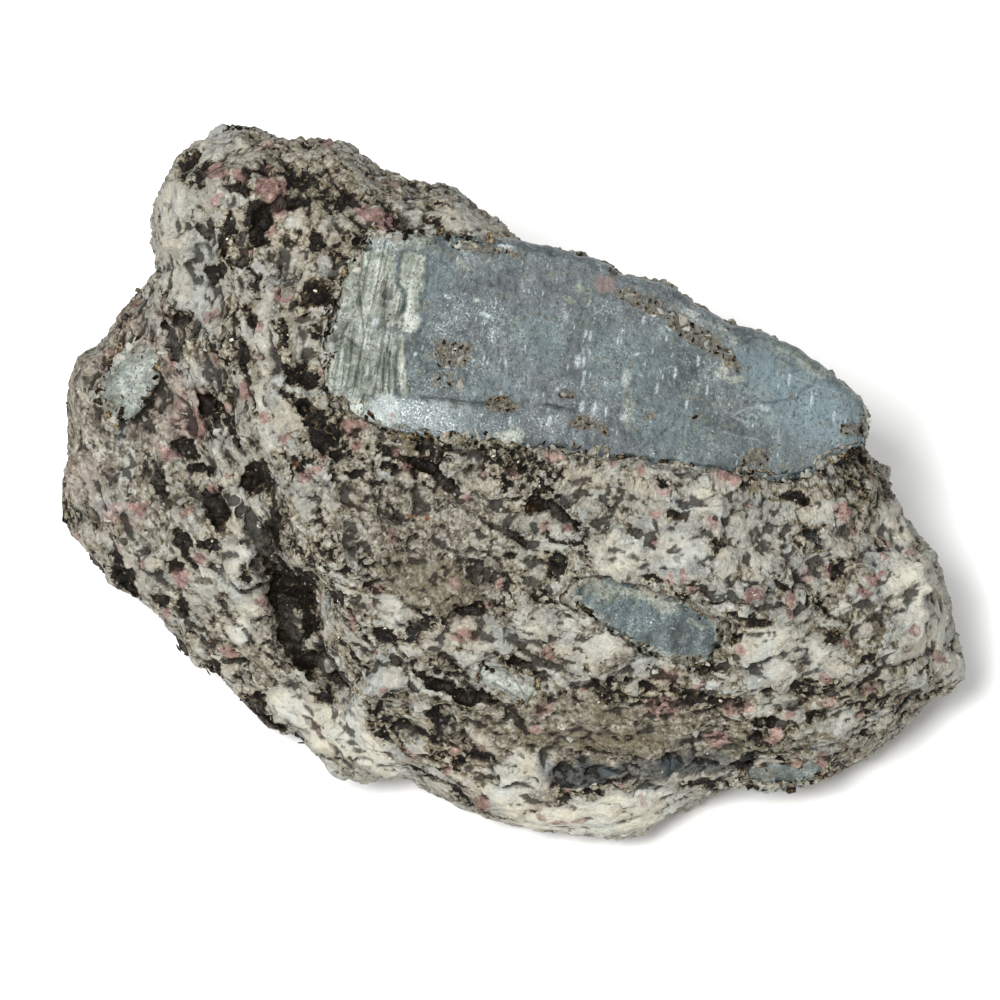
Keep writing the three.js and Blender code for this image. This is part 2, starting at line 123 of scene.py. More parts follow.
POSITION = Kind("GeometryNodeInputPosition")
SET_POSITION = Kind("GeometryNodeSetPosition", inputs=("Geometry", "Offset"))
NAMED_NUMBER = Kind("GeometryNodeInputNamedAttribute", {"data_type": "FLOAT"}, ("Name",))
NAMED_VECTOR = Kind("GeometryNodeInputNamedAttribute", {"data_type": "FLOAT_VECTOR"}, ("Name",))
STORE = Kind("GeometryNodeStoreNamedAttribute", {"data_type": "FLOAT"}, ("Geometry", "Name", "Value"))
RANDOM = Kind("FunctionNodeRandomValue", {"data_type": "FLOAT"}, (2, 3, "Seed"), 1)
RANDOM_WHOLE = Kind("FunctionNodeRandomValue", {"data_type": "INT"}, (4, 5, "Seed"), 2)
RANDOM_VECTOR = Kind("FunctionNodeRandomValue", {"data_type": "FLOAT_VECTOR"}, (0, 1, "Seed"))

Inputs = dict[str | int, Any] | Sequence[Any]


def wire(
    tree: bpy.types.NodeTree, kind: Kind | str, inputs: Inputs = (), out: str | int | None = None,
    **settings: Any,
) -> Any:
    """Adds a node with its settings and links.

    Args:
        tree: the node tree that the node goes into.
        kind: the kind of node, or its plain type.
        inputs: a value or a socket to link from for each input, in the kind's own order or by name.
        out: the output to hand back, if it isn't the kind's own.
        **settings: further settings of the node.

    Returns:
        The chosen output socket, or the node itself if it has no outputs.
    """
    kind = Kind(kind) if isinstance(kind, str) else kind
    made = tree.nodes.new(kind.type)
    for name, value in (kind.settings | settings).items():
        setattr(made, name, value)
    given = inputs if isinstance(inputs, dict) else dict(zip(kind.inputs, inputs))
    for key, value in given.items():
        if isinstance(value, bpy.types.NodeSocket):
            tree.links.new(value, made.inputs[key])
        elif value is not None:
            made.inputs[key].default_value = value
    return made.outputs[kind.out if out is None else out] if len(made.outputs) else made


def paint_ramp(socket: Any, places: Sequence[float], colours: Sequence[str]) -> Any:
    """Sets the colours of the ramp that a socket comes from.

    Args:
        socket: an output of the ramp.
        places: each colour's place, from 0 to 1.
        colours: the colours, as hex.

    Returns:
        The same socket.
    """
    elements = socket.node.color_ramp.elements
    for place in places[2:]:
        elements.new(place)
    for element, place, colour in zip(elements, places, colours):
        element.position = place
        element.color = linear(colour)
    return socket


def mixture(tree: bpy.types.NodeTree, total: Any, *shares: tuple[Any, float]) -> Any:
    """Adds more values to a first one, each by its weight.

    Args:
        tree: the node tree.
        total: the first value's socket.
        *shares: each further socket and its weight.

    Returns:
        The socket of the sum.
    """
    for value, weight in shares:
        total = wire(tree, MULTIPLY_ADD, (value, weight, total))
    return total


def coats(tree: bpy.types.NodeTree, colour: Any, *layers: tuple[Any, Any]) -> Any:
    """Lays more colours over a first one, like coats of paint.

    Args:
        tree: the node tree.
        colour: the first colour's socket.
        *layers: for each coat, the socket of how much of it there is, and its colour's socket or hex.

    Returns:
        The socket of the last colour.
    """
    for share, over in layers:
        colour = wire(tree, BLEND, (share, colour, linear(over) if isinstance(over, str) else over))
    return colour


def smoothstep(low: float, high: float, value: np.ndarray) -> np.ndarray:
    """Rises smoothly from 0 at low to 1 at high."""
    t = np.clip((value - low) / (high - low), 0.0, 1.0)
    return t * t * (3 - 2 * t)


@dataclass(frozen=True)
class FaceFrame:
    """The frame of the show face, in millimetres: u to the right, v up the face and w straight out of it."""

    elevation: float = math.radians(62)
    origin: tuple[float, float, float] = (-1.2789, -4.0983, 22.5)

    @property
    def axes(self) -> np.ndarray:
        """The directions of u, v and w in the model, one in each row."""
        s, c = math.sin(self.elevation), math.cos(self.elevation)
        return np.array([[1.0, 0.0, 0.0], [0.0, s, c], [0.0, -c, s]])

    def place(self, points: np.ndarray) -> np.ndarray:
        """Turns (u, v, w) rows in millimetres to model points in metres."""
        return (points @ self.axes + np.array(self.origin)) * MM

    def read(self, points: np.ndarray) -> np.ndarray:
        """Turns model points in metres to (u, v, w) rows in millimetres."""
        return (points / MM - np.array(self.origin)) @ self.axes.T

    def direction(self, vector: Sequence[float]) -> Vector:
        """Turns a (u, v, w) direction to one in the model."""
        return Vector(np.array(vector) @ self.axes).normalized()


FACE = FaceFrame()


class Lattice:
    """Smooth random values in space, between -1 and 1, the same on every run."""

    def __init__(self, seed: int, size: int = 24) -> None:
        """Fills the lattice.

        Args:
            seed: fixes the values.
            size: how many values there are each way before they repeat.
        """
        self.size = size
        self.values = np.random.default_rng(seed).uniform(-1, 1, (size, size, size))

    def at(self, points: np.ndarray, pitch: float | Sequence[float]) -> np.ndarray:
        """Reads the values at some points.

        Args:
            points: rows of three coordinates.
            pitch: the distance between two values of the lattice, for all axes or for each.

        Returns:
            One value for each point.
        """
        scaled = points / np.array(pitch)
        cell = np.floor(scaled).astype(int)
        t = scaled - cell
        t = t * t * (3 - 2 * t)
        total = np.zeros(len(points))
        for corner in np.ndindex(2, 2, 2):
            share = np.prod(np.where(corner, t, 1 - t), axis=1)
            i, j, k = ((cell + corner) % self.size).T
            total += share * self.values[i, j, k]
        return total

    def rough(self, points: np.ndarray, pitch: float, octaves: int = 3) -> np.ndarray:
        """Adds finer and finer layers of the same noise, each half as strong as the one before."""
        layers = [self.at(points + 7.3 * k, pitch / 2**k) / 2**k for k in range(octaves)]
        return np.sum(layers, axis=0) / (2 - 2.0 ** (1 - octaves))

    def sway(
        self, uvw: np.ndarray, reach: float, pitch: float, apart: float,
    ) -> tuple[np.ndarray, np.ndarray]:
        """Moves places on the show face about, so that what is drawn there gets a ragged edge.

        Args:
            uvw: (u, v, w) rows in millimetres.
            reach: how far they move, in millimetres.
            pitch: how close together the moves change, in millimetres.
            apart: how far apart in the lattice the moves in u and in v are read.

        Returns:
            The moved u and v.
        """
        u, v = (uvw[:, axis] + reach * self.rough(uvw + axis * apart, pitch) for axis in (0, 1))
        return u, v


class Cells:
    """Random cells over a plane, like broken plates or splinters, the same on every run."""

    def __init__(self, seed: int, size: int = 64) -> None:
        """Sets the cells' middles and numbers.

        Args:
            seed: fixes them.
            size: how many cells there are each way before they repeat.
        """
        random = np.random.default_rng(seed)
        self.size = size
        self.middles = random.uniform(0, 1, (size * size, 2))
        self.numbers = random.uniform(0, 1, (size * size, 3))

    def read(
        self, x: np.ndarray, y: np.ndarray, width: float, length: float,
    ) -> tuple[np.ndarray, np.ndarray]:
        """Reads the cells at some points.

        Args:
            x: distance across the cells.
            y: distance along the cells.
            width: how wide a cell is.
            length: how long a cell is.

        Returns:
            Three random numbers of each point's cell, in a row, and how far it is from the cell's edge.
        """
        across, along = x / width, y / length
        column, row = np.floor(across).astype(int), np.floor(along).astype(int)
        nearest, second = np.full(len(x), np.inf), np.full(len(x), np.inf)
        chosen = np.zeros(len(x), int)
        for i, j in np.ndindex(3, 3):
            cell = (column + i - 1) % self.size * self.size + (row + j - 1) % self.size
            middle = self.middles[cell]
            gap = np.hypot(column + i - 1 + middle[:, 0] - across, row + j - 1 + middle[:, 1] - along)
            second = np.minimum(second, np.maximum(gap, nearest))
            chosen = np.where(gap < nearest, cell, chosen)
            nearest = np.minimum(nearest, gap)
        return self.numbers[chosen], second - nearest


def make_mesh(name: str, points: np.ndarray, faces: Sequence[Sequence[int]]) -> bpy.types.Mesh:
    """Makes a mesh.

    Args:
        name: its name.
        points: its points in metres, one in each row.
        faces: the point numbers of each face.

    Returns:
        The mesh.
    """
    mesh = bpy.data.meshes.new(name)
    mesh.from_pydata(points.tolist(), [], [list(map(int, face)) for face in faces])
    mesh.validate()
    return mesh


def points_of(mesh: bpy.types.Mesh) -> np.ndarray:
    """Reads a mesh's points.

    Args:
        mesh: the mesh.

    Returns:
        The points in metres, one in each row.
    """
    flat = np.empty(len(mesh.vertices) * 3)
    mesh.vertices.foreach_get("co", flat)
    return flat.reshape(-1, 3)


def set_points(mesh: bpy.types.Mesh, points: np.ndarray) -> None:
    """Moves the mesh's points."""
    mesh.vertices.foreach_set("co", points.ravel())
    mesh.update()


def normals_of(mesh: bpy.types.Mesh) -> np.ndarray:
    """Reads a mesh's point normals.

    Args:
        mesh: the mesh.

    Returns:
        The normals, one in each row.
    """
    flat = np.empty(len(mesh.vertices) * 3)
    mesh.vertex_normals.foreach_get("vector", flat)
    return flat.reshape(-1, 3)


def set_attribute(mesh: bpy.types.Mesh, name: str, values: np.ndarray) -> None:
    """Stores one number for each point of the mesh."""
    layer = mesh.attributes.new(name, "FLOAT", "POINT")
    layer.data.foreach_set("value", values.astype(np.float32))


def set_vectors(mesh: bpy.types.Mesh, name: str, rows: np.ndarray) -> None:
    """Stores one row of three numbers for each point of the mesh."""
    layer = mesh.attributes.new(name, "FLOAT_VECTOR", "POINT")
    layer.data.foreach_set("vector", rows.astype(np.float32).ravel())


def surroundings(mesh: bpy.types.Mesh, rounds: int) -> np.ndarray:
    """The mean place of the points round each point.

    Args:
        mesh: the mesh.
        rounds: how many times the places are averaged, which sets how wide the surroundings are.

    Returns:
        One place in metres for each point.
    """
    ends = np.empty(len(mesh.edges) * 2, np.int32)
    mesh.edges.foreach_get("vertices", ends)
    one, other = ends.reshape(-1, 2).T
    start, ahead = np.concatenate([one, other]), np.concatenate([other, one])
    level = points_of(mesh)
    count = np.bincount(start, minlength=len(level))[:, None]
    for _ in range(rounds):
        sums = [np.bincount(start, level[ahead, axis], len(level)) for axis in range(3)]
        level = np.column_stack(sums) / count
    return level


def hollowness(mesh: bpy.types.Mesh, rounds: int) -> np.ndarray:
    """How deep each point lies below its surroundings, in millimetres; below 0 on a crest."""
    return ((surroundings(mesh, rounds) - points_of(mesh)) * normals_of(mesh)).sum(axis=1) / MM


def blunt_spikes(mesh: bpy.types.Mesh, allowed: float, rounds: int = 4) -> None:
    """Draws back points that stand out too far from those round them.

    Args:
        mesh: the mesh.
        allowed: how far a point may stand out, in millimetres.
        rounds: how many times it is done.
    """
    for _ in range(rounds):
        level = surroundings(mesh, 2)
        away = points_of(mesh) - level
        reach = np.linalg.norm(away, axis=1)[:, None]
        set_points(mesh, level + away * np.minimum(1.0, allowed * MM / np.maximum(reach, 1e-9)))


def keep_in_box(points: np.ndarray) -> np.ndarray:
    """Brings points that stand out of the CAD box, or under its foot, back to it."""
    low, high = (np.array(corner) for corner in CAD_BOX)
    return np.clip(points, low, high)


def baked(thing: bpy.types.Object) -> bpy.types.Mesh:
    """Applies an object's modifiers. The object itself is taken away.

    Args:
        thing: the object.

    Returns:
        Its finished mesh.
    """
    seen = thing.evaluated_get(bpy.context.evaluated_depsgraph_get())
    mesh = bpy.data.meshes.new_from_object(seen)
    old = thing.data
    bpy.data.objects.remove(thing)
    bpy.data.meshes.remove(old)
    return mesh


def stand_in(mesh: bpy.types.Mesh) -> bpy.types.Object:
    """Makes a passing object for a mesh that still needs its modifiers.

    Args:
        mesh: the mesh.

    Returns:
        The object, linked to the scene.
    """
    thing = bpy.data.objects.new(mesh.name, mesh)
    bpy.context.scene.collection.objects.link(thing)
    return thing


def piece(mesh: bpy.types.Mesh, name: str, slot: str, *nodes: str) -> bpy.types.Object:
    """Makes a finished piece of a mesh.

    Args:
        mesh: the mesh, with its material.
        name: the piece's name.
        slot: the record's material slot; not used.
        *nodes: the CAD nodes that it stands for.

    Returns:
        The piece, riding on the specimen's one body.
    """
    mesh.name = name
    thing = stand_in(mesh)
    thing.name = name
    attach(thing, BODY)
    if nodes:
        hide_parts(*nodes)
    LOG.info("%s: %d faces", name, len(mesh.polygons))
    return thing


def geometry_tree(name: str, sizes: dict[str, float]) -> tuple[bpy.types.NodeTree, Any, Any]:
    """Starts a geometry tree with named inputs.

    Args:
        name: the tree's name.
        sizes: each named input and its value.

    Returns:
        The tree, its input node and its output node.
    """
    tree = bpy.data.node_groups.new(name, "GeometryNodeTree")
    tree.interface.new_socket("Geometry", in_out="INPUT", socket_type="NodeSocketGeometry")
    for label in sizes:
        tree.interface.new_socket(label, in_out="INPUT", socket_type="NodeSocketFloat")
    tree.interface.new_socket("Geometry", in_out="OUTPUT", socket_type="NodeSocketGeometry")
    return tree, tree.nodes.new("NodeGroupInput"), tree.nodes.new("NodeGroupOutput")


def run_tree(mesh: bpy.types.Mesh, tree: bpy.types.NodeTree, sizes: dict[str, float]) -> bpy.types.Mesh:
    """Runs a geometry tree on a mesh. The tree itself is taken away.

    Args:
        mesh: the mesh.
        tree: the tree.
        sizes: its named inputs and their values.

    Returns:
        The plain mesh that comes out.
    """
    thing = stand_in(mesh)
    modifier = thing.modifiers.new(tree.name, "NODES")
    modifier.node_group = tree
    for socket in tree.interface.items_tree:
        if socket.in_out == "INPUT" and socket.name in sizes:
            modifier[socket.identifier] = float(sizes[socket.name])
    made = baked(thing)
    bpy.data.node_groups.remove(tree)
    return made


# ---- Finishes ----

# Takes a random colour, whose parts are 0 to 1, to numbers on both sides of 0.
TO_MIDDLE = (-0.5, -0.5, -0.5)

# Where four shades of one mineral lie between its darkest and its lightest.
FOUR_SHADES = (0.0, 0.35, 0.7, 1.0)


@dataclass(frozen=True)
class MineralField:
    """Where each mineral lies in the gneiss: the same for its colour, its relief and its loose grains.

    The layers are folded round a hinge up and to the right of the main blade, so that they run down the ridge
    and then across the foot. The grains are random cells, flattened on the layers and bent by a slow noise.
    Each has a score that the clumps and the named patches push up to feldspar or down to mica. Sizes are in
    millimetres, and a noise is given by its scale, detail and roughness.
    """

    hinge: tuple[float, float] = (20.0, 30.0)
    bow: float = 48.0
    dip: float = math.radians(28)
    flattening: tuple[float, float, float] = (1.5, 1.1, 0.8)
    grain: float = 1.6
    crumb: float = 0.5
    garnet: float = 1.3
    clump: float = 4.5
    wander: tuple[float, float, float] = (0.75, 3.0, 0.65)
    fray: tuple[float, float, float] = (2.0, 2.0, 0.6)
    bend: float = 1.6
    graining: float = 0.42
    clumping: float = 1.35
    crumbling: float = 0.4
    fraying: float = 0.7
    parting: float = 0.3
    pushing: float = 0.45
    thinning: float = 0.2
    pale_from: float = 0.5
    dark_from: float = 0.205
    garnet_share: float = 0.03

    def layers(self, places: np.ndarray) -> tuple[np.ndarray, np.ndarray]:
        """Follows the folded layers.

        Args:
            places: (u, v, w) rows in millimetres.

        Returns:
            Each row's distances along the layers, down them and across them, in millimetres, and the
            direction that faces across them, in the model.
        """
        u, v = self.hinge[0] - places[:, 0], self.hinge[1] - places[:, 1]
        radius = np.hypot(u, v)
        c, s = math.cos(self.dip), math.sin(self.dip)
        inward = self.bow - radius
        down, deep = places[:, 2] * c - inward * s, inward * c + places[:, 2] * s
        rows = np.column_stack([np.arctan2(v, u) * self.bow, down, deep])
        across = np.column_stack([u / radius * c, v / radius * c, np.full(len(u), s)])
        return rows, across @ FACE.axes

    def nodes(
        self, tree: bpy.types.NodeTree, place: Any, felsic: Any, rose: Any, even: Any,
    ) -> dict[str, Any]:
        """Adds the field's nodes to a shader or geometry tree.

        Args:
            tree: the tree.
            place: the socket of the distances along, down and across the layers, in millimetres.
            felsic: the socket that pushes grains to feldspar (above 0) or mica (below 0).
            rose: the socket that raises the share of garnet.
            even: the socket that thins the mica out to an even ground.

        Returns:
            The sockets of the flattened place ("layered"), of how much there is of "pale" feldspar, "dark"
            mica and "rose" garnet, of the grain's own "tone", "dome" and "seam", of how far the tilted faces
            of the grain ("broken") and of the crumb ("chipped") stand up, in millimetres, and the crumb's
            three random numbers ("crumb").
        """
        add, mix = partial(wire, tree), partial(mixture, tree)
        layered = add(VECTOR_MULTIPLY, (place, tuple(1 / f for f in self.flattening)))
        wander = add(VECTOR_ADD, (add(NOISE, (layered, *self.wander), out="Color"), TO_MIDDLE))
        bent = add(VECTOR_MULTIPLY_ADD, (wander, (self.bend,) * 3, layered))
        swayed = add(VECTOR_MULTIPLY_ADD, (wander, (self.bend / 2,) * 3, place))
        grains = add(CELLS, (bent, 1 / self.grain, 1.0))
        edge = add(CELL_EDGES, (bent, 1 / self.grain, 1.0))
        crumbs = add(CELLS, (swayed, 1 / self.crumb, 1.0))
        grain, crumb = (add(SPLIT, (cells,)).node.outputs for cells in (grains, crumbs))

        # Each grain's score, about 0 to 1: high is feldspar, low is mica and the rest is the mixed ground.
        clump = add(NOISE, (layered, 1 / self.clump, 2.0, 0.55))
        fray = add(NOISE, (place, *self.fray))
        grained = add(MULTIPLY, (grain["X"], self.graining))
        frayed = mix(grained, (clump, self.clumping), (crumb["X"], self.crumbling), (fray, self.fraying))
        parted = add(SUBTRACT, (frayed, add(RANGE, (edge, 0.02, 0.24, self.parting, 0.0))))
        surplus = (self.graining + self.clumping + self.crumbling + self.fraying - self.parting / 2 - 1) / 2
        score = mix(add(SUBTRACT, (parted, surplus)), (felsic, self.pushing))
        pale = add(SMOOTH, (score, self.pale_from, self.pale_from + 0.1))
        dark = add(SMOOTH, (mix(score, (even, self.thinning)), self.dark_from, self.dark_from - 0.06))

        # Garnets are strewn here and there as small round knots, and gather in the named patches.
        knots = add(CELLS, (place, 1 / self.garnet, 0.9))
        chosen = add(GREATER_THAN, (add(SPLIT, (knots,)), 1 - self.garnet_share))
        knot = add(MULTIPLY, (chosen, add(RANGE, (knots.node.outputs["Distance"], 0.44, 0.52, 1.0, 0.0))))
        gathered = add(SMOOTH, (mix(rose, (crumb["Y"], 0.5)), 0.72, 0.86))
        return {
            "layered": layered, "pale": pale, "dark": dark, "rose": add(MAXIMUM, (knot, gathered)),
            "tone": grain["Z"], "crumb": crumb,
            "dome": add(SMOOTH, (grains.node.outputs["Distance"], 0.0, 0.75, 1.0, 0.0)),
            "seam": add(SMOOTH, (edge, 0.0, 0.1, 1.0, 0.0)),
            "broken": self.facet(tree, bent, grains.node),
            "chipped": self.facet(tree, swayed, crumbs.node),
        }

    def facet(self, tree: bpy.types.NodeTree, place: Any, cells: bpy.types.Node) -> Any:
        """Adds a tilted plane for each cell, as a grain breaks.

        Args:
            tree: the tree.
            place: the socket of the place that the cells are read at.
            cells: the cells' node.

        Returns:
            The socket of the plane's height.
        """
        add = partial(wire, tree)
        offset = add(VECTOR_SUBTRACT, (place, cells.outputs["Position"]))
        return add(DOT_PRODUCT, (offset, add(VECTOR_ADD, (cells.outputs["Color"], TO_MIDDLE))))


FIELD = MineralField()


def blank_material(name: str) -> tuple[bpy.types.Material, bpy.types.NodeTree, Any]:
    """Makes a material with an empty tree but for its output.

    Args:
        name: the material's name, which says what the finish is.

    Returns:
        The material, its tree and the output node.
    """
    material = bpy.data.materials.new(name)
    material.use_nodes = True
    tree = material.node_tree
    tree.nodes.clear()
    return material, tree, tree.nodes.new("ShaderNodeOutputMaterial")


@dataclass(frozen=True)
class GneissFinish:
    """Broken garnet and mica gneiss.

    Feldspar is soft white and faintly see-through, quartz grey and greasy, biotite black-brown with glinting
    flakes, and the garnet dusty rose. None of it is polished, so only the flakes catch the light; the mica's
    bronze sheen and its glints are partly painted into its colour.
    The sugar is the fine noise of broken grains and the drift the slow one of the layers, each a scale, a
    detail and a roughness.
    """

    feldspar: tuple[str, ...] = ("#6f6c65", "#8b8880", "#a29f96", "#bcb9af")
    glassy: tuple[str, ...] = ("#5e5e5b", "#7d7d79", "#969690", "#b2b1aa")
    white: str = "#c0beb4"
    groundmass: tuple[str, ...] = ("#1e1a14", "#4b443a", "#716a5d", "#8a8578", "#a6a399")
    biotite: tuple[str, ...] = ("#030302", "#080604", "#1b150f", "#3d3324", "#756a50")
    garnet: tuple[str, ...] = ("#4f3d39", "#775d57", "#947870", "#b59f95")
    olive: str = "#5a523a"
    blue: str = "#3d4346"
    rust: str = "#7a4a1c"
    glint: str = "#d8d0bc"
    # Dark grime in the grain seams, and painted shade in the hollows.
    grime_and_shade: str = "#14100b"
    warm_cast: str = "#fffaef"
    cool_cast: str = "#f8fcfd"
    ior: float = 1.54
    shine: float = 0.14
    speckle: float = 0.25
    sugar: tuple[float, float, float] = (1.6, 4.0, 0.68)
    drift: tuple[float, float, float] = (0.3, 3.0, 0.6)

    def make(self) -> bpy.types.Material:
        """Makes the material.

        Returns:
            The finish of the rock.
        """
        material, tree, output = blank_material("broken_garnet_mica_gneiss")
        add, mix, coat = (partial(function, tree) for function in (wire, mixture, coats))
        felsic, rose, blue, rust, olive, even, hollow = (
            add(STORED, attribute_name=name)
            for name in ("felsic", "rose", "blue", "rust", "olive", "even", "hollow")
        )
        layers = add(STORED, out="Vector", attribute_name="layers")
        minerals = FIELD.nodes(tree, layers, felsic, rose, even)
        pale, dark, tone, crumb = (minerals[name] for name in ("pale", "dark", "tone", "crumb"))
        millimetres = add(SCALE, (add(OBJECT_PLACE), 1 / MM))
        fine = add(NOISE, (millimetres, *self.sugar))
        slow = add(NOISE, (millimetres, *self.drift))
        specks = add(CELLS, (layers, 1 / self.speckle))
        chance = add(SPLIT, (specks,)).node.outputs

        # The pale minerals: sugary feldspar, glassy quartz, and whiter where the feldspar is massed.
        toned = mix(fine, (chance["X"], 0.2), (crumb["Z"], 0.15), (tone, 0.3))
        reading = add(RANGE, (toned, 0.45, 1.2))
        cream, glass, pink = (
            paint_ramp(add(RAMP, (reading,)), FOUR_SHADES, shades)
            for shades in (self.feldspar, self.glassy, self.garnet)
        )
        greyness = add(SMOOTH, (mix(slow, (tone, 0.45)), 0.58, 0.82))
        whiteness = add(RANGE, (felsic, 0.9, 2.8, 0.0, 0.7))
        white = coat(cream, (greyness, glass), (whiteness, self.white))

        # The mixed ground between them, greener in the olive patches, and the slow change from warm to cool.
        mixed = add(RANGE, (mix(fine, (chance["X"], 0.55), (crumb["Y"], 0.3)), 0.42, 1.32))
        ground = paint_ramp(add(RAMP, (mixed,)), (0.0, 0.22, 0.5, 0.75, 1.0), self.groundmass)
        olived = coat(ground, (add(MULTIPLY, (olive, 0.6)), self.olive))
        warmth = add(RANGE, (slow, 0.35, 0.65))
        cast = add(BLEND, (warmth, linear(self.warm_cast), linear(self.cool_cast)))
        rocky = add(BLEND, (1.0, coat(olived, (pale, white)), cast), blend_type="MULTIPLY")

        # Mica: near black leaves whose brown and bronze tones are partly their own colour and partly painted
        # sheen, with a rare painted glint, worn away where the ground is even.
        leafy = add(MIX, (0.3, crumb["Y"], chance["Y"]))
        sheen = add(RANGE, (mix(leafy, (fine, 0.5)), 0.2, 1.3))
        black = paint_ramp(add(RAMP, (sheen,)), (0.0, 0.36, 0.6, 0.8, 1.0), self.biotite)
        leaves = coat(black, (add(GREATER_THAN, (chance["Z"], 0.99)), self.glint))
        kept = add(RANGE, (felsic, 0.6, 1.6, 0.0, -0.8))
        worn_away = add(RANGE, (add(ADD, (add(ADD, (even, fine)), kept)), 0.82, 0.98, 0.0, 0.9))

        # Garnet: a wash over the whole patch, and grains that are dusty in places.
        wash = add(RANGE, (rose, 0.0, 1.0, 0.0, 0.7))
        dusted = add(MULTIPLY, (minerals["rose"], add(RANGE, (fine, 0.3, 0.62, 1.0, 0.55))))

        # Grime lies in the seams between grains, less in the pale ones. Deep in the hollows the same dark
        # colour is painted shade.
        seams = add(MULTIPLY, (minerals["seam"], add(RANGE, (pale, 0.0, 1.0, 0.35, 0.08))))
        deep = add(RANGE, (mix(hollow, (fine, 0.9)), 0.6, 1.3, 0.0, 0.85))
        colour = coat(
            rocky, (dark, leaves), (worn_away, olived), (wash, pink), (dusted, pink), (blue, self.blue),
            (rust, self.rust), (add(MAXIMUM, (seams, deep)), self.grime_and_shade),
        )

        # Mica is a little glossier. Specks are pits, crumbs break at a tilt and mica leaves stand up.
        gloss = add(RANGE, (dark, 0.0, 1.0, 0.6, 0.45))
        leafing = add(MULTIPLY, (chance["X"], dark))
        height = mix(
            add(MULTIPLY, (fine, 0.16)), (specks.node.outputs["Distance"], -0.06), (minerals["chipped"], 0.7),
            (leafing, 0.16),
        )
        normal = add(BUMP, (1.0, MM, height))
        shader = add(PRINCIPLED, (colour, gloss, self.ior, self.shine, normal))
        tree.links.new(shader, output.inputs["Surface"])
        return material


@dataclass(frozen=True)
class GrainFinish:
    """One mineral's loose grains: its tones from grain to grain, and how its broken face takes light."""

    name: str
    tones: tuple[str, ...]
    roughness: float
    ior: float
    relief: float = 0.04
    mottle: float = 1.8
    swing: float = 1.0
    shine: float = 0.15

    def make(self) -> bpy.types.Material:
        """Makes the material.

        Returns:
            The finish of the grains.
        """
        material, tree, output = blank_material(self.name)
        add = partial(wire, tree)
        millimetres = add(SCALE, (add(OBJECT_PLACE), 1 / MM))
        tone = add(STORED, attribute_name="tone")
        fine = add(NOISE, (millimetres, self.mottle, 3.0, 0.65))
        mixed = mixture(tree, add(MULTIPLY, (fine, self.swing)), (tone, 0.6))
        middle = 0.3 + self.swing / 2
        reading = add(RANGE, (mixed, middle - 0.4, middle + 0.4))
        places = [k / (len(self.tones) - 1) for k in range(len(self.tones))]
        colour = paint_ramp(add(RAMP, (reading,)), places, self.tones)
        gloss = add(RANGE, (fine, 0.3, 0.7, self.roughness - 0.08, self.roughness + 0.12))
        normal = add(BUMP, (1.0, self.relief * MM, fine))
        shader = add(PRINCIPLED, (colour, gloss, self.ior, self.shine, normal))
        tree.links.new(shader, output.inputs["Surface"])
        return material


# Feldspar and quartz break to soft white and grey lumps with a dull, greasy light on them.
FELDSPAR = GrainFinish(
    "broken_feldspar_and_quartz", ("#5c5a53", "#75736b", "#87857c", "#97958c", "#a8a69c"),
    roughness=0.6, ior=1.53,
)
# Biotite is near black and splits to mirror-flat flakes; their brown and bronze tones are partly their own
# colour and partly painted sheen.
BIOTITE = GrainFinish(
    "biotite_flakes", ("#040303", "#0e0a07", "#20180f", "#463b2a", "#80745a"),
    roughness=0.5, ior=1.6, relief=0.06, mottle=4.2, swing=2.4, shine=0.06,
)


# What is stored at each point of a blade: where it is pale, stained, sparkling with painted glints, split
# and darkened partly with painted shade, bluer and rosy, how light its fibre is, and its larger pale dashes,
# many of them painted glints.
BLADE_MARKS = ("pale", "brown", "flash", "gap", "azure", "tone", "dash", "rosy")


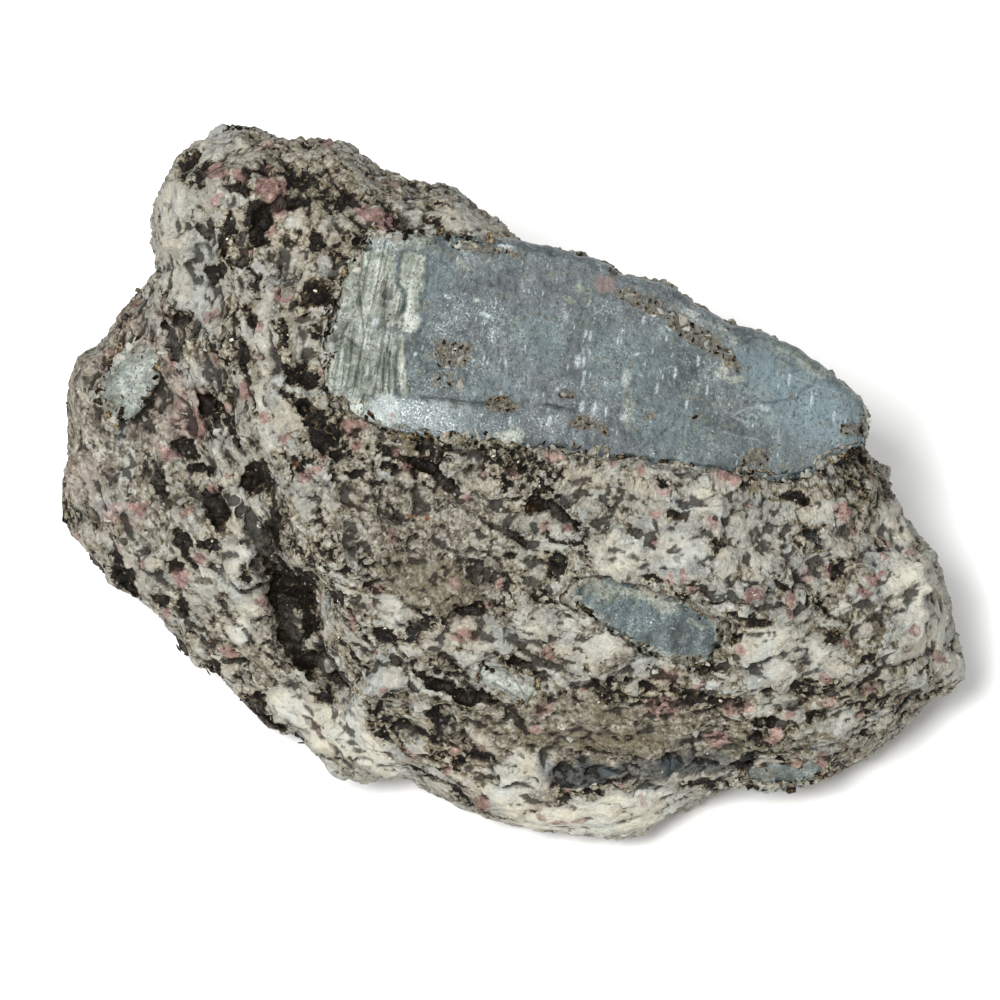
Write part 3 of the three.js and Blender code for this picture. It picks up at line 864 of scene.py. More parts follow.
@dataclass(frozen=True)
class KyaniteFinish:
    """A kyanite blade: a steel grey cleavage face with a glassy, pearly light on it.

    Slow clouds take it from green-grey to violet-grey and bluer. It is gritty all over with fine dark specks
    and with fine pale specks and glints that are painted sparkle, has short pale dashes drawn out along its
    fibres, many of them painted glints, and goes to pale green-cream where the fibres splay. A noise is given
    by its scale, detail and roughness.
    """

    name: str
    turn: tuple[float, float, float]
    green: tuple[str, ...] = ("#272f30", "#3f4a4b", "#546061", "#6e7a79")
    slate: tuple[str, ...] = ("#2a2e31", "#434a4d", "#586063", "#72797b")
    cream: tuple[str, ...] = ("#40473f", "#666c60", "#898e83", "#b1b5ab")
    azure: str = "#5f7379"
    olive: str = "#5c5a49"
    brown: tuple[str, ...] = ("#0f0d09", "#302b20", "#524b3a", "#736c5a")
    # Painted sparkle: pale specks and brighter glints.
    sparkle_speck: str = "#939d9e"
    glint: str = "#dbe1e0"
    dark_speck: str = "#2a2c27"
    # The dark of cracks, holes and fibre gaps: partly their own dark colour and partly painted shade, with a
    # painted shadow under the slab.
    crack: str = "#1f2826"
    rose: str = "#7d625c"
    # Pale dashes along the fibres, many of them painted glints.
    dash: str = "#aab4b7"
    ior: float = 1.72
    shine: float = 0.3
    clouds: tuple[float, float, float] = (0.16, 3.0, 0.6)
    patches: tuple[float, float, float] = (0.5, 4.0, 0.68)
    mottling: tuple[float, float, float] = (1.3, 3.0, 0.7)
    grit: tuple[float, float, float] = (5.6, 3.0, 0.75)
    pits: tuple[float, float, float] = (3.6, 3.0, 0.7)
    threads: tuple[float, float, float] = (2.8, 3.0, 0.65)

    def make(self) -> bpy.types.Material:
        """Makes the material.

        Returns:
            The finish of the blade.
        """
        material, tree, output = blank_material(self.name)
        add = partial(wire, tree)
        mix, coat = partial(mixture, tree), partial(coats, tree)
        along = add(
            "ShaderNodeMapping",
            {"Vector": add(OBJECT_PLACE), "Rotation": self.turn, "Scale": (MM, MM, MM)},
            vector_type="TEXTURE",
        )
        pale, brown, flash, gap, azure, tone, dash, rosy = (
            add(STORED, attribute_name=name) for name in BLADE_MARKS
        )
        squeezed = add(VECTOR_MULTIPLY, (along, (1.0, 0.9, 1.0)))
        aside = add(VECTOR_ADD, (squeezed, (31.0, 17.0, 5.0)))
        cloud = add(NOISE, (along, *self.clouds))
        patchy = add(NOISE, (along, *self.patches))
        mottle = add(NOISE, (aside, *self.mottling))
        fine = add(NOISE, (squeezed, *self.grit))
        other = add(NOISE, (aside, *self.pits))
        fibre = add(NOISE, (add(VECTOR_MULTIPLY, (along, (1.0, 0.3, 1.0))), *self.threads))

        # The body: green-grey to violet-grey, bluer and browner in places, and cream where it is pale.
        summed = mix(mottle, (patchy, 2.9), (fine, 0.9), (fibre, 0.15), (tone, 0.8))
        reading = add(RANGE, (summed, 2.22, 3.5))
        green, slate, cream = (
            paint_ramp(add(RAMP, (reading,)), FOUR_SHADES, shades)
            for shades in (self.green, self.slate, self.cream)
        )
        hue = add(SMOOTH, (cloud, 0.42, 0.58))
        bluer = add(MULTIPLY, (add(MULTIPLY, (azure, mottle)), 1.8), use_clamp=True)
        warm = add(SMOOTH, (mottle, 0.52, 0.68, 0.0, 0.6))
        paled = add(RANGE, (mix(add(MULTIPLY, (pale, 1.7)), (mottle, 1.6)), 1.15, 2.2))
        body = coat(green, (hue, slate), (bluer, self.azure), (warm, self.olive), (paled, cream))

        # The painted sparkle of pale specks and glints gathers where the face is patchy, and most in the
        # flash marks. The dark specks also gather where it is patchy.
        gathered = mix(fine, (patchy, 0.28), (flash, 0.1), (azure, -0.05))
        bright = add(RANGE, (gathered, 0.72, 0.84, 0.0, 0.75))
        glint = add(RANGE, (gathered, 0.85, 0.9))
        dull = add(RANGE, (mix(other, (patchy, -0.2)), 0.37, 0.27, 0.0, 0.8))

        # Short dashes lie along the fibres: rare strewn ones, and the placed ones, which are broken up. They
        # are pale flecks, many of them painted glints.
        streak = add(CELLS, (add(VECTOR_MULTIPLY, (along, (4.0, 1.3, 1.5))), 1.0))
        rare = add(GREATER_THAN, (add(SPLIT, (streak,)), 0.97))
        lens = add(RANGE, (streak.node.outputs["Distance"], 0.2, 0.42, 0.5, 0.0))
        placed = add(MULTIPLY, (dash, add(RANGE, (fine, 0.32, 0.6))))
        dashed = add(MAXIMUM, (add(MULTIPLY, (rare, lens)), placed), use_clamp=True)

        # Brown stains with a crumbly edge, and a faint rosy dust.
        stain = add(RANGE, (mix(brown, (mottle, 1.1), (other, 1.0)), 1.5, 1.85, 0.0, 0.9))
        rusty = add(RANGE, (mix(other, (fine, 0.8)), 0.72, 1.1))
        tan = paint_ramp(add(RAMP, (rusty,)), (0.0, 0.3, 0.65, 1.0), self.brown)
        dusty = add(MULTIPLY, (rosy, add(MULTIPLY, (fine, 1.5))), use_clamp=True)
        # Last, the cracks, holes and fibre gaps go dark: partly their own dark colour and partly painted
        # shade.
        colour = coat(
            body, (dull, self.dark_speck), (bright, self.sparkle_speck), (dashed, self.dash),
            (glint, self.glint), (stain, tan), (dusty, self.rose), (gap, self.crack),
        )

        gloss = add(RANGE, (mottle, 0.3, 0.7, 0.3, 0.5))
        height = mix(add(MULTIPLY, (fibre, 0.03)), (fine, 0.07), (mottle, 0.1))
        normal = add(BUMP, (1.0, MM, height))
        shader = add(PRINCIPLED, (colour, gloss, self.ior, self.shine, normal))
        tree.links.new(shader, output.inputs["Surface"])
        return material


# ---- The rock ----


class Stain(Enum):
    """What a named patch of the rock is richer in."""

    FELDSPAR = ("felsic", 1.0)
    MICA = ("felsic", -1.0)
    GARNET = ("rose", 1.0)
    BLUE_DARK = ("blue", 1.0)
    RUST = ("rust", 1.0)
    OLIVE = ("olive", 1.0)
    EVEN = ("even", 1.0)


@dataclass(frozen=True)
class Oval:
    """An oval on the show face: its middle, half sizes, turn and strength."""

    u: float
    v: float
    long: float
    wide: float
    turn: float = 0.0
    strength: float = 1.0

    def share(self, u: np.ndarray, v: np.ndarray) -> np.ndarray:
        """Reads how far points of the face are inside the oval.

        Args:
            u: each point's distance to the right, in millimetres.
            v: each point's distance up the face, in millimetres.

        Returns:
            A number from 0 to the oval's strength for each point.
        """
        c, s = math.cos(math.radians(self.turn)), math.sin(math.radians(self.turn))
        x, y = (u - self.u) * c + (v - self.v) * s, (v - self.v) * c - (u - self.u) * s
        return self.strength * (1 - smoothstep(0.65, 1.25, np.hypot(x / self.long, y / self.wide)))


@dataclass(frozen=True)
class Area:
    """An area of the show face inside straight sides, with a soft edge."""

    corners: tuple[tuple[float, float], ...]
    strength: float = 1.0
    edge: float = 0.5

    def share(self, u: np.ndarray, v: np.ndarray) -> np.ndarray:
        """How far each point of the face is inside the area, from 0 to its strength."""
        return self.strength * smoothstep(-self.edge, self.edge, polygon_depth(self.corners, u, v))


@dataclass(frozen=True)
class Line:
    """A bent line on the show face, for cracks, scratches and seams."""

    points: tuple[tuple[float, float], ...]
    width: float
    strength: float = 1.0

    def share(self, u: np.ndarray, v: np.ndarray) -> np.ndarray:
        """Reads how close points of the face are to the line.

        Args:
            u: each point's distance to the right, in millimetres.
            v: each point's distance up the face, in millimetres.

        Returns:
            A number from 0 to the line's strength for each point.
        """
        nearest = np.full(u.shape, np.inf)
        for start, end in zip(self.points, self.points[1:]):
            nearest = np.minimum(nearest, distance_to(start, end, u, v))
        return self.strength * (1 - smoothstep(0.4 * self.width, self.width, nearest))


Mark = Oval | Area | Line


def distance_to(start: Sequence[float], end: Sequence[float], x: np.ndarray, y: np.ndarray) -> np.ndarray:
    """Measures how far points are from a straight line between two ends.

    Args:
        start: one end.
        end: the other end.
        x: the points' first coordinates.
        y: their second ones.

    Returns:
        Each point's distance.
    """
    run = np.subtract(end, start)
    t = np.clip(((x - start[0]) * run[0] + (y - start[1]) * run[1]) / (run @ run), 0, 1)
    return np.hypot(x - start[0] - t * run[0], y - start[1] - t * run[1])


def polygon_depth(corners: Sequence[Sequence[float]], x: np.ndarray, y: np.ndarray) -> np.ndarray:
    """Measures how far points are inside a polygon.

    Args:
        corners: the polygon's corners in order.
        x: the points' first coordinates.
        y: their second ones.

    Returns:
        Each point's distance in from the polygon's sides, below 0 outside it.
    """
    nearest = np.full(x.shape, np.inf)
    inside = np.zeros(x.shape, bool)
    for (ax, ay), (bx, by) in zip(corners, [*corners[1:], corners[0]]):
        nearest = np.minimum(nearest, distance_to((ax, ay), (bx, by), x, y))
        if ay != by:
            inside ^= ((ay > y) != (by > y)) & (x < (bx - ax) * (y - ay) / (by - ay) + ax)
    return np.where(inside, nearest, -nearest)


def ovals(*rows: tuple[float, ...]) -> tuple[Oval, ...]:
    """Ovals from rows of their middle, half sizes, turn and strength."""
    return tuple(Oval(*row) for row in rows)


def lines(*rows: tuple[Any, ...]) -> tuple[Line, ...]:
    """Lines from rows of their points, width and strength."""
    return tuple(Line(*row) for row in rows)


@dataclass(frozen=True)
class Terrace:
    """A step or fold of a face, up or down, in millimetres."""

    mark: Mark
    rise: float


def creases(*rows: tuple[Any, ...]) -> tuple[Terrace, ...]:
    """Folds along lines, from rows of the line's points, its width and its rise."""
    return tuple(Terrace(Line(points, width), rise) for points, width, rise in rows)


# The larger folds of the rock: the crevice between the ridge and the low left lobe, the lobe itself, the
# ridge's crest, the ledges under the blades and the open seams between the mineral layers.
FOLDS = (
    *creases(
        (
            (
                (-28, 14.6), (-26.2, 11.4), (-23.6, 7), (-22.1, 3.6), (-21, 0), (-20.1, -4.6), (-18.8, -8),
                (-17.6, -12), (-14.8, -15),
            ),
            2.3, -2.1,
        ),
    ),
    Terrace(
        Area(
            (
                (-31, 19), (-27.6, 15), (-25.6, 11.4), (-23, 7), (-21.6, 3.6), (-20.6, 0), (-19.6, -4.6),
                (-18.4, -8), (-16.8, -12.4), (-14, -16), (-18, -24), (-40, -14), (-50, 10), (-40, 24),
            ),
            edge=0.9,
        ),
        -0.9,
    ),
    *creases(
        (((-22.6, 21), (-20, 13), (-18, 6.4), (-16.6, -1), (-14.4, -7)), 3.4, 1.1),
        (((-7.6, 3.6), (-3.3, -0.2)), 0.5, -0.4), (((-1.8, -1.7), (3.2, -4)), 0.4, -0.3),
        (((4.3, -0.5), (6, -1.9), (8, -3.2)), 0.4, -0.5),
        (((9, -10.2), (12.6, -12.6), (16.6, -14.4), (21, -14)), 0.7, -0.6),
        (((17, -7.6), (20.6, -8.8), (25.4, -9.6), (28, -9.4)), 0.6, -0.5),
        (((-10.8, -22), (-5.7, -24.6)), 0.5, -0.5), (((0.7, -18.5), (2.4, -20.3)), 0.4, -0.5),
        (((22.7, -19.4), (26.2, -19.9)), 0.4, -0.5),
        (((-9, -16.6), (-6.4, -15.8), (-4, -16.9), (-1.6, -17.6)), 0.5, -0.5),
        (((-11.4, -14.9), (-8.6, -13.9)), 0.4, -0.4),
        (((-25.6, 23.6), (-23, 20.6), (-21.4, 24), (-19.4, 26)), 0.7, -0.6),
        (((-29.6, 22), (-28.8, 17.6)), 0.6, -0.5),
        (((-33, -2), (-30.8, -6.4), (-28, -9.6), (-24.6, -14)), 1.0, -0.5),
        (((29, -16.8), (33, -15.2), (37.6, -13.6)), 0.7, -0.5),
    ),
)

# The named patches of the show face, by what they are rich in. Each row is an oval: its middle, half sizes,
# turn and strength.
PATCHES: dict[Stain, tuple[Oval, ...]] = {
    Stain.FELDSPAR: ovals(
        (26, -7, 15, 9, -15, 0.45), (36.5, -8, 5, 8, 10, 0.5), (11, -2, 8, 6, 0, 0.3),
        (-32, 2, 6, 12, 10, 0.45), (-27, 22, 4.6, 6.9, 0, 0.3), (-19.6, 9, 4, 12, 12, 0.3),
        (-14.2, -20.6, 6.8, 1.6, -30, 3.6), (9, -27.7, 9, 1.3, 10, 3.2), (6, -12.2, 6, 2.2, -15, 0.35),
        (13, 0.2, 8, 3, -10, 0.25), (-24.2, 31.2, 3.2, 1.6, -25, 1.1), (-29, 25.6, 1.3, 2.8, -8, 1.3),
        (-27.4, 20.4, 2.8, 3.9, 20, 1.1), (-25.8, 16.3, 1, 1.8, 20, 0.9), (-17.7, 24.5, 1, 0.7, 25, 1.8),
        (-23.2, 26.2, 1.4, 0.6, 10, 1.2), (-22.6, 18.6, 1.4, 1.4, 0, 0.7), (-20, 21, 1.4, 1.7, 0, 0.6),
        (-17.6, 21.4, 1.6, 1, 20, 0.9), (-20.6, 16.6, 1.1, 1.1, 0, 0.9), (-15.4, 20.6, 0.9, 1.3, 0, 1),
        (-3, 24.2, 2.8, 1.4, -20, 1.6), (-20.6, 13.9, 1.3, 1.8, -10, 1.4), (-20.3, 11.3, 0.8, 0.9, 0, 1.5),
        (-17.3, 14.1, 0.8, 1.5, 0, 1.1), (-16, 14.3, 1.8, 1.5, 0, 0.8), (-21, 9, 0.38, 2.6, -5, 1.6),
        (-18.5, 7.3, 1.3, 1.6, -10, 1.1), (-20.1, 5, 0.6, 1.1, -10, 1.5), (-15.6, 1, 1.8, 1.1, 0, 0.7),
        (-33.4, 12.4, 0.6, 3.1, -25, 0.8), (-32.3, 8.6, 0.6, 4.4, -25, 0.9), (-32.8, 2.6, 0.6, 2.1, -10, 1.6),
        (-23.6, 2.4, 2.6, 2.8, -30, 1.2), (-22.4, -2.6, 1.9, 3.9, -10, 1.5), (-22.9, -7.2, 2.1, 3.1, 25, 1.6),
        (-23.1, -11.6, 0.9, 1.1, 0, 2.7), (-22.2, -10.4, 1, 1, 0, 1.4), (-26.8, -9.6, 1.4, 2.4, -50, 0.9),
        (-24, -15.8, 1, 1.8, 30, 0.8), (-27, 11.4, 1.6, 2.1, 0, 0.7), (-18.4, -18.8, 2.1, 1.6, -20, 1.9),
        (-15, -21, 2.5, 1.7, -28, 2), (-11.6, -22.6, 3, 1.3, -30, 2.1), (-12.8, -19, 1.1, 1.8, 0, 1.5),
        (-9.9, -15.7, 1.7, 1.1, -10, 1.7), (-9.8, -9.4, 1.9, 0.9, -15, 1.2), (-15.5, -10, 0.6, 2.2, 10, 0.9),
        (-8.4, -18.7, 1.6, 1, -10, 0.6), (-14.4, -14.2, 0.9, 0.8, -25, 1.6),
        (-17.8, -16.2, 2.3, 0.8, -25, 0.8), (-3.2, 2.2, 2.2, 2.1, -35, 0.9), (-3.8, -2.7, 3.2, 1.3, -10, 0.8),
        (4.4, -2.4, 2.5, 0.6, -10, 0.8), (-0.2, -11.6, 3, 0.6, 10, 0.9), (-9.4, -9.8, 1.3, 0.9, 0, 1.3),
        (6.8, -8, 2.1, 2.3, 0, 0.6), (2.5, -11.6, 1, 1, 0, 1.5), (-2.3, -13, 2.1, 0.9, 25, 1.3),
        (-5.2, -12.3, 2.1, 0.9, 25, 1), (9.7, 2.4, 1.1, 0.9, 0, 1.2), (13.6, 2.5, 1.3, 0.9, 10, 1.3),
        (18.4, 0.3, 2, 1.7, -20, 1.4), (22.1, -2.6, 1.9, 1.4, -10, 1.5), (10.4, -4.7, 1.9, 2, -20, 1.7),
        (15.8, -4.6, 2, 1.7, -10, 1.4), (19.6, -5.5, 0.9, 1.1, 0, 1.2), (22.8, -5, 1.9, 1.3, 0, 1.4),
        (19.1, -7.3, 2.1, 1, -15, 0.7), (8.9, -12.9, 1.9, 1.2, 15, 1.5), (12.7, -14.8, 1.1, 1, 0, 1.3),
        (7.4, -14.6, 3.9, 1, -5, 0.5), (24.6, -13.4, 3.7, 2.5, 10, 1.7), (28.5, -1, 1.9, 1, 25, 1.5),
        (35, -3, 1.4, 2.6, 20, 1.6), (36, -7.2, 2.2, 2.3, 0, 1.7), (37.6, -10.6, 2, 3.4, 15, 1.6),
        (39.8, -14.8, 1.6, 1.2, 0, 1.5), (27.4, -6.7, 1.6, 0.9, -10, 0.8), (28.9, -14.3, 1.9, 1.4, 0, 1),
        (24.4, -17.6, 1.6, 0.8, -10, 0.9), (30.5, -19.7, 1.6, 1.2, 10, 2), (-1.4, -21, 1.6, 0.6, -25, 1.3),
        (2, -24.6, 2.5, 2.8, 0, 2), (0.4, -26.4, 2.1, 1.4, -20, 1.7), (5.2, -28, 1.8, 1.1, -20, 1.9),
        (9.4, -28.2, 3.7, 1.1, 8, 2), (13.6, -27.4, 2.5, 1, 15, 1.9),
    ),
    Stain.MICA: ovals(
        (-4.5, -6.5, 7, 4.6, -20, 0.25), (-2, 3.6, 8, 1.8, -8, 0.25), (8, -19, 12, 2.4, 0, 0.5),
        (11, -23.6, 8.6, 1.3, 4, 0.3), (-18, 27.6, 6, 2.4, -15, 0.3), (-18.6, 9, 2.4, 6, 15, 0.25),
        (31, -10, 3.4, 6, 0, 0.15), (-25.2, 19.8, 0.9, 0.9, 0, 3), (-18.6, 26.1, 1.5, 0.6, -10, 2.2),
        (-21, 24.6, 0.9, 1.5, -15, 2.2), (-21, 22.6, 0.9, 0.5, 30, 1.6), (-24.4, 22.6, 0.7, 1.8, -20, 1.6),
        (-23.4, 24.3, 0.9, 0.4, -40, 1.4), (-27, 29, 1.3, 2.2, 25, 1), (-23.4, 32.6, 1, 0.4, -5, 1.3),
        (-22.9, 27, 1.2, 0.5, -20, 1.2), (-20.2, 29, 0.5, 0.7, 0, 1.9), (-16.2, 18.3, 1.5, 1.2, 25, 2),
        (-16, 22.3, 0.8, 0.5, -20, 1.8), (-21.9, 19.2, 0.9, 0.9, 0, 1.2), (-30, 20.6, 0.6, 0.7, 0, 1.6),
        (-21.7, 15.6, 0.8, 0.5, -20, 1.5), (-29, 16, 0.8, 1, 0, 1.1), (-17.6, 28.4, 1.6, 0.9, -20, 0.7),
        (-26.6, 23.2, 0.8, 1, -30, 0.9), (-13.6, 26.6, 1.4, 0.7, -20, 0.6), (-9.4, 24.6, 1.6, 0.7, -20, 0.9),
        (-6, 24.3, 1.2, 0.4, -15, 1.3), (-17.4, 10.8, 1.5, 1.2, -20, 2.4), (-16.3, 14.8, 0.4, 0.8, 20, 2.2),
        (-19.4, 14.6, 0.8, 1.5, 20, 1.1), (-18, 8.6, 2, 0.5, -35, 1.6), (-16.4, 7.6, 1.2, 0.7, -45, 1.4),
        (-15.4, 5.6, 1.1, 1.1, 0, 2), (-14.2, 4, 0.6, 0.5, 0, 2), (-21.7, 9, 0.39, 2, 15, 2.4),
        (-17.6, 3.1, 0.4, 0.8, 10, 1.8), (-12.4, 2.3, 0.8, 0.5, 0, 1.6), (-22.4, 12.4, 0.39, 1.8, 10, 1.6),
        (-21.6, 1.9, 1.3, 1.8, -20, 2.7), (-25.4, 8.4, 1.1, 0.7, -30, 2.7), (-28.4, 5.4, 0.6, 0.39, 0, 3),
        (-27.6, 4.3, 1.3, 0.8, -20, 2.2), (-30.4, 2, 0.9, 1.8, 20, 2.4), (-26.6, 2.6, 1.6, 0.5, -10, 2.2),
        (-24.8, -0.4, 1.1, 2, 15, 2.7), (-22.1, 2.2, 0.9, 1.1, 0, 3), (-32.9, 0.6, 0.34, 1, 20, 2.2),
        (-33.3, -6.6, 0.9, 1.8, 25, 2.7), (-27.8, -4.1, 0.6, 1.8, 20, 2.2), (-26.1, -3.8, 0.7, 0.5, 0, 1.9),
        (-28.7, -5.8, 0.7, 0.6, 0, 1.9), (-22.4, -6.5, 0.6, 0.9, 15, 2.7), (-19.8, -2.6, 0.5, 2.4, 10, 2.4),
        (-18.2, -8, 2.2, 2, -30, 2), (-19, -12.6, 1.8, 1.2, 20, 1.4), (-27.8, -9.7, 0.39, 1, 20, 2.4),
        (-25.5, -12.7, 0.39, 0.8, 15, 2.3), (-23.6, -14.3, 1.1, 0.6, -20, 2.6),
        (-22.9, -15.5, 0.7, 0.6, 0, 1.6), (-25, -15.2, 0.28, 1.2, 35, 2.2),
        (-21.6, -18.2, 0.9, 0.8, -30, 2.3), (-20.1, -20, 1.6, 0.35, -35, 1.9),
        (-29.9, -8.8, 0.7, 0.6, 0, 1.8), (-24.4, -9, 0.39, 0.8, 30, 2), (-23.4, 6, 0.39, 2.2, 25, 1.6),
        (-16.8, -11.2, 0.7, 1, 0, 1.8), (-17.5, -14.1, 1.4, 1, -15, 1.5), (-15.8, -17.6, 1.2, 1.3, -30, 1.3),
        (-10.3, -21.1, 0.8, 0.5, -25, 1.8), (-8.2, -23.2, 1.2, 0.25, -32, 1.9),
        (-14.1, -15.7, 1, 0.5, -20, 1.5), (-14.2, -8.4, 0.6, 1, 15, 1.6), (-10.3, -11.8, 0.8, 0.7, -20, 1.8),
        (-7.4, -11.6, 1, 0.7, 0, 1), (-6.2, -16, 1.6, 0.4, -25, 1.8), (-4.2, -16.8, 1.4, 0.35, -15, 1.7),
        (-3.2, -17.5, 1.4, 0.3, 15, 1.4), (-10.2, -17.1, 1.3, 0.22, -5, 1.8), (-4.8, -20.2, 1.2, 0.6, 0, 1.6),
        (-6.4, 2.7, 1.5, 0.5, -35, 2.8), (-4.6, 1.1, 1.4, 0.4, -38, 2.8), (0.5, -2.8, 2.4, 0.35, -27, 2.2),
        (0.5, -4.8, 0.8, 0.4, -20, 1.8), (-2.2, -4.4, 0.9, 0.7, -30, 0.9), (3.4, -0.7, 1.2, 0.4, -15, 1.8),
        (6.2, -1.8, 1.9, 0.22, -38, 2), (5.6, -3.6, 2.1, 0.35, -8, 1.3), (4.8, -5.8, 1.2, 1.1, 0, 1.5),
        (-2.3, -9.8, 1.4, 0.7, 0, 3), (-1.4, -6.8, 0.9, 0.9, -60, 1.6), (3.9, 1.7, 0.9, 0.3, -55, 2),
        (-9.4, 4, 1.6, 0.5, -20, 1.2), (-9.6, 2.8, 1, 0.5, -25, 1.7), (-10, -0.6, 2, 0.8, -25, 0.9),
        (14.1, 1.6, 0.9, 0.6, -30, 1.8), (14.8, -1.6, 0.7, 0.7, 0, 2.4), (19.1, -3.8, 0.8, 0.8, 0, 1.2),
        (13.8, -6.9, 1.5, 0.25, -20, 2), (16.2, -8.8, 0.9, 0.35, -25, 1.8), (18.6, -8.9, 1.2, 0.25, -12, 1.9),
        (24.9, -7.4, 1.2, 0.3, -40, 1.7), (20.4, -10.2, 1.2, 0.5, -20, 1.4), (22.4, -10.8, 1.6, 0.6, 10, 1.6),
        (20.4, -12.3, 1, 0.7, 0, 1.2), (8.5, -10.4, 1.9, 0.3, -32, 1.9), (16.6, -14.3, 1.8, 0.4, -5, 1.4),
        (25.9, 0.3, 1.2, 0.6, -10, 1.9), (27.5, -3.8, 1, 0.8, -30, 1.2), (33.7, -4, 1, 0.8, -20, 2),
        (29.7, -5.7, 0.6, 1.1, -15, 1.5), (38, -9.3, 0.8, 1.5, 25, 1.7), (29.3, -12.2, 0.8, 0.5, 10, 1.8),
        (26.5, -14.1, 1, 0.9, 0, 1.7), (27.4, -8.9, 1, 0.5, 0, 1.4), (37.5, -14.9, 1, 0.7, 0, 1.3),
        (32.4, -13.9, 0.8, 0.5, 20, 1.3), (25.8, -16.2, 0.6, 0.5, 0, 1.8), (23.6, -16.5, 0.9, 0.5, 0, 1.2),
        (23.3, -19.5, 1, 0.3, -10, 2), (22.8, -21.1, 0.8, 0.6, 0, 2.6), (27.9, -18.9, 1.1, 0.5, 0, 1.4),
        (16.1, -22.8, 2.4, 0.9, 0, 1.3), (21.5, -23.4, 1.2, 0.9, 0, 1.5), (13.1, -16.1, 1, 0.5, 0, 1.3),
        (17.3, -25.5, 2, 0.6, 10, 1.4), (6.8, -24.6, 2.4, 1, 0, 1.2), (9.4, -24.4, 2, 0.9, 0, 1.3),
        (11, -22.4, 2, 0.7, -5, 1.4), (15.3, -22.9, 1.2, 1, 0, 1.2), (-1.9, -22.6, 0.9, 0.9, 0, 1.8),
        (2.8, -22.1, 0.7, 0.6, 0, 1.5), (-3.8, -23.2, 0.8, 0.6, -30, 1.2), (1.6, -14.5, 3, 0.6, -27, 0.9),
        (-2.4, -17.2, 0.9, 0.8, 0, 0.9), (3.8, -18, 0.9, 0.7, 0, 0.8), (0.2, -18.3, 2.2, 0.5, -27, 0.9),
    ),
    Stain.GARNET: ovals(
        (-36, 18, 3, 4, 30, 0.3), (-31, 15, 3, 2.4, 0, 0.25), (-40, 8, 3, 8, 0, 0.2), (-30, 8, 3, 3, 0, 0.25),
        (-37, 2, 3, 2, 0, 0.25), (-27, 7.6, 2, 3, 0, 0.25), (-20, 27.3, 1.3, 1.2, 0, 1),
        (-22.6, 28.5, 0.8, 0.6, -30, 0.9), (-24.9, 28.8, 1.3, 0.8, -20, 0.65),
        (-19.3, 25.5, 0.6, 0.9, 20, 0.85), (-20, 23.8, 0.4, 0.6, 0, 0.8), (-24.9, 25.8, 0.5, 0.4, 0, 0.8),
        (-14.8, 29.8, 0.5, 0.4, 0, 0.8), (-19, 17.7, 0.7, 0.6, 0, 0.85), (-29.6, 29.2, 0.4, 0.4, 0, 0.8),
        (-15.1, 31.5, 0.6, 0.4, 0, 0.7), (-11, 25, 2, 1, -20, 0.8), (-22.2, 21.7, 0.6, 0.4, 0, 0.6),
        (-26.7, 7.3, 0.9, 0.8, 0, 0.95), (-27, 6, 0.8, 0.6, 0, 0.65), (-29.1, 4.2, 1, 0.5, -30, 0.7),
        (-31.7, -0.7, 0.9, 0.7, 0, 0.75), (-27.7, -1, 0.7, 0.5, 10, 0.95), (-33.4, -1.4, 2.2, 1.2, -20, 0.5),
        (-33.9, 13.2, 1.2, 0.6, 30, 0.6), (-34.8, 11.8, 1, 0.5, 30, 0.6), (-29, 12, 0.6, 0.9, 0, 0.7),
        (-22.6, 9.6, 0.8, 0.9, 0, 0.65), (-37.5, -3, 0.4, 0.4, 0, 0.7), (-33.8, -4.6, 0.5, 0.4, 0, 0.75),
        (-31.5, -5.4, 0.6, 0.35, -10, 0.8), (-28.2, -6.9, 0.9, 0.8, 0, 0.8), (-26.4, -5, 0.6, 0.4, 0, 0.8),
        (-24.1, -13.3, 0.6, 0.5, 0, 0.9), (-29.3, -9.6, 0.4, 0.35, 0, 0.8), (-23.6, -3.3, 0.5, 0.35, 30, 0.8),
        (-16, -8.9, 0.35, 0.6, 0, 0.85), (-13.1, -10.4, 0.35, 0.7, 25, 0.9),
        (-3.5, -11.8, 1.2, 0.4, 10, 0.75), (-4, -22, 0.6, 0.5, 0, 0.8), (-5, -23.9, 0.6, 0.5, 0, 0.75),
        (-7.8, -22, 1, 0.5, -20, 0.5), (-13.1, 6.4, 1, 0.8, 0, 0.75), (-12.5, 4.8, 0.5, 0.7, 0, 0.9),
        (-15.6, 3.9, 0.5, 0.3, 0, 0.8), (-8, 3, 0.5, 0.5, 0, 0.85), (-9.6, -3.2, 0.6, 0.8, 0, 0.75),
        (4.3, 4.1, 1.2, 0.6, -20, 0.6), (1.2, 2.4, 0.6, 0.5, 0, 0.5), (4.3, -13.5, 0.7, 0.8, 0, 1),
        (3.8, -18.4, 0.9, 0.7, 0, 0.75), (7, -16.6, 0.5, 0.4, 0, 0.75), (14.3, -18.2, 1.9, 0.9, -10, 0.7),
        (14.7, -15.7, 0.6, 0.6, 0, 0.75), (2.1, -12.7, 0.4, 0.4, 0, 0.7), (-1.5, -21.9, 0.6, 0.5, 0, 0.85),
        (-1.5, -26.9, 0.6, 0.5, 0, 0.8), (-3, -11.6, 0.7, 0.4, 0, 0.6), (19.9, 2, 1, 0.7, -15, 0.95),
        (14.3, 0.6, 0.5, 0.4, 0, 0.8), (13.4, -1.1, 0.6, 0.7, 0, 0.75), (18.6, -2.4, 0.7, 0.5, 0, 0.65),
        (22.1, -8.5, 0.6, 0.5, 0, 1), (25.4, -8.8, 0.5, 0.8, 0, 0.75), (12.3, 2.4, 0.4, 0.4, 0, 0.8),
        (30.4, -1, 0.6, 0.8, 0, 1), (33.1, -6.9, 0.9, 0.6, 0, 0.9), (32.1, -8.3, 0.9, 0.5, 10, 0.95),
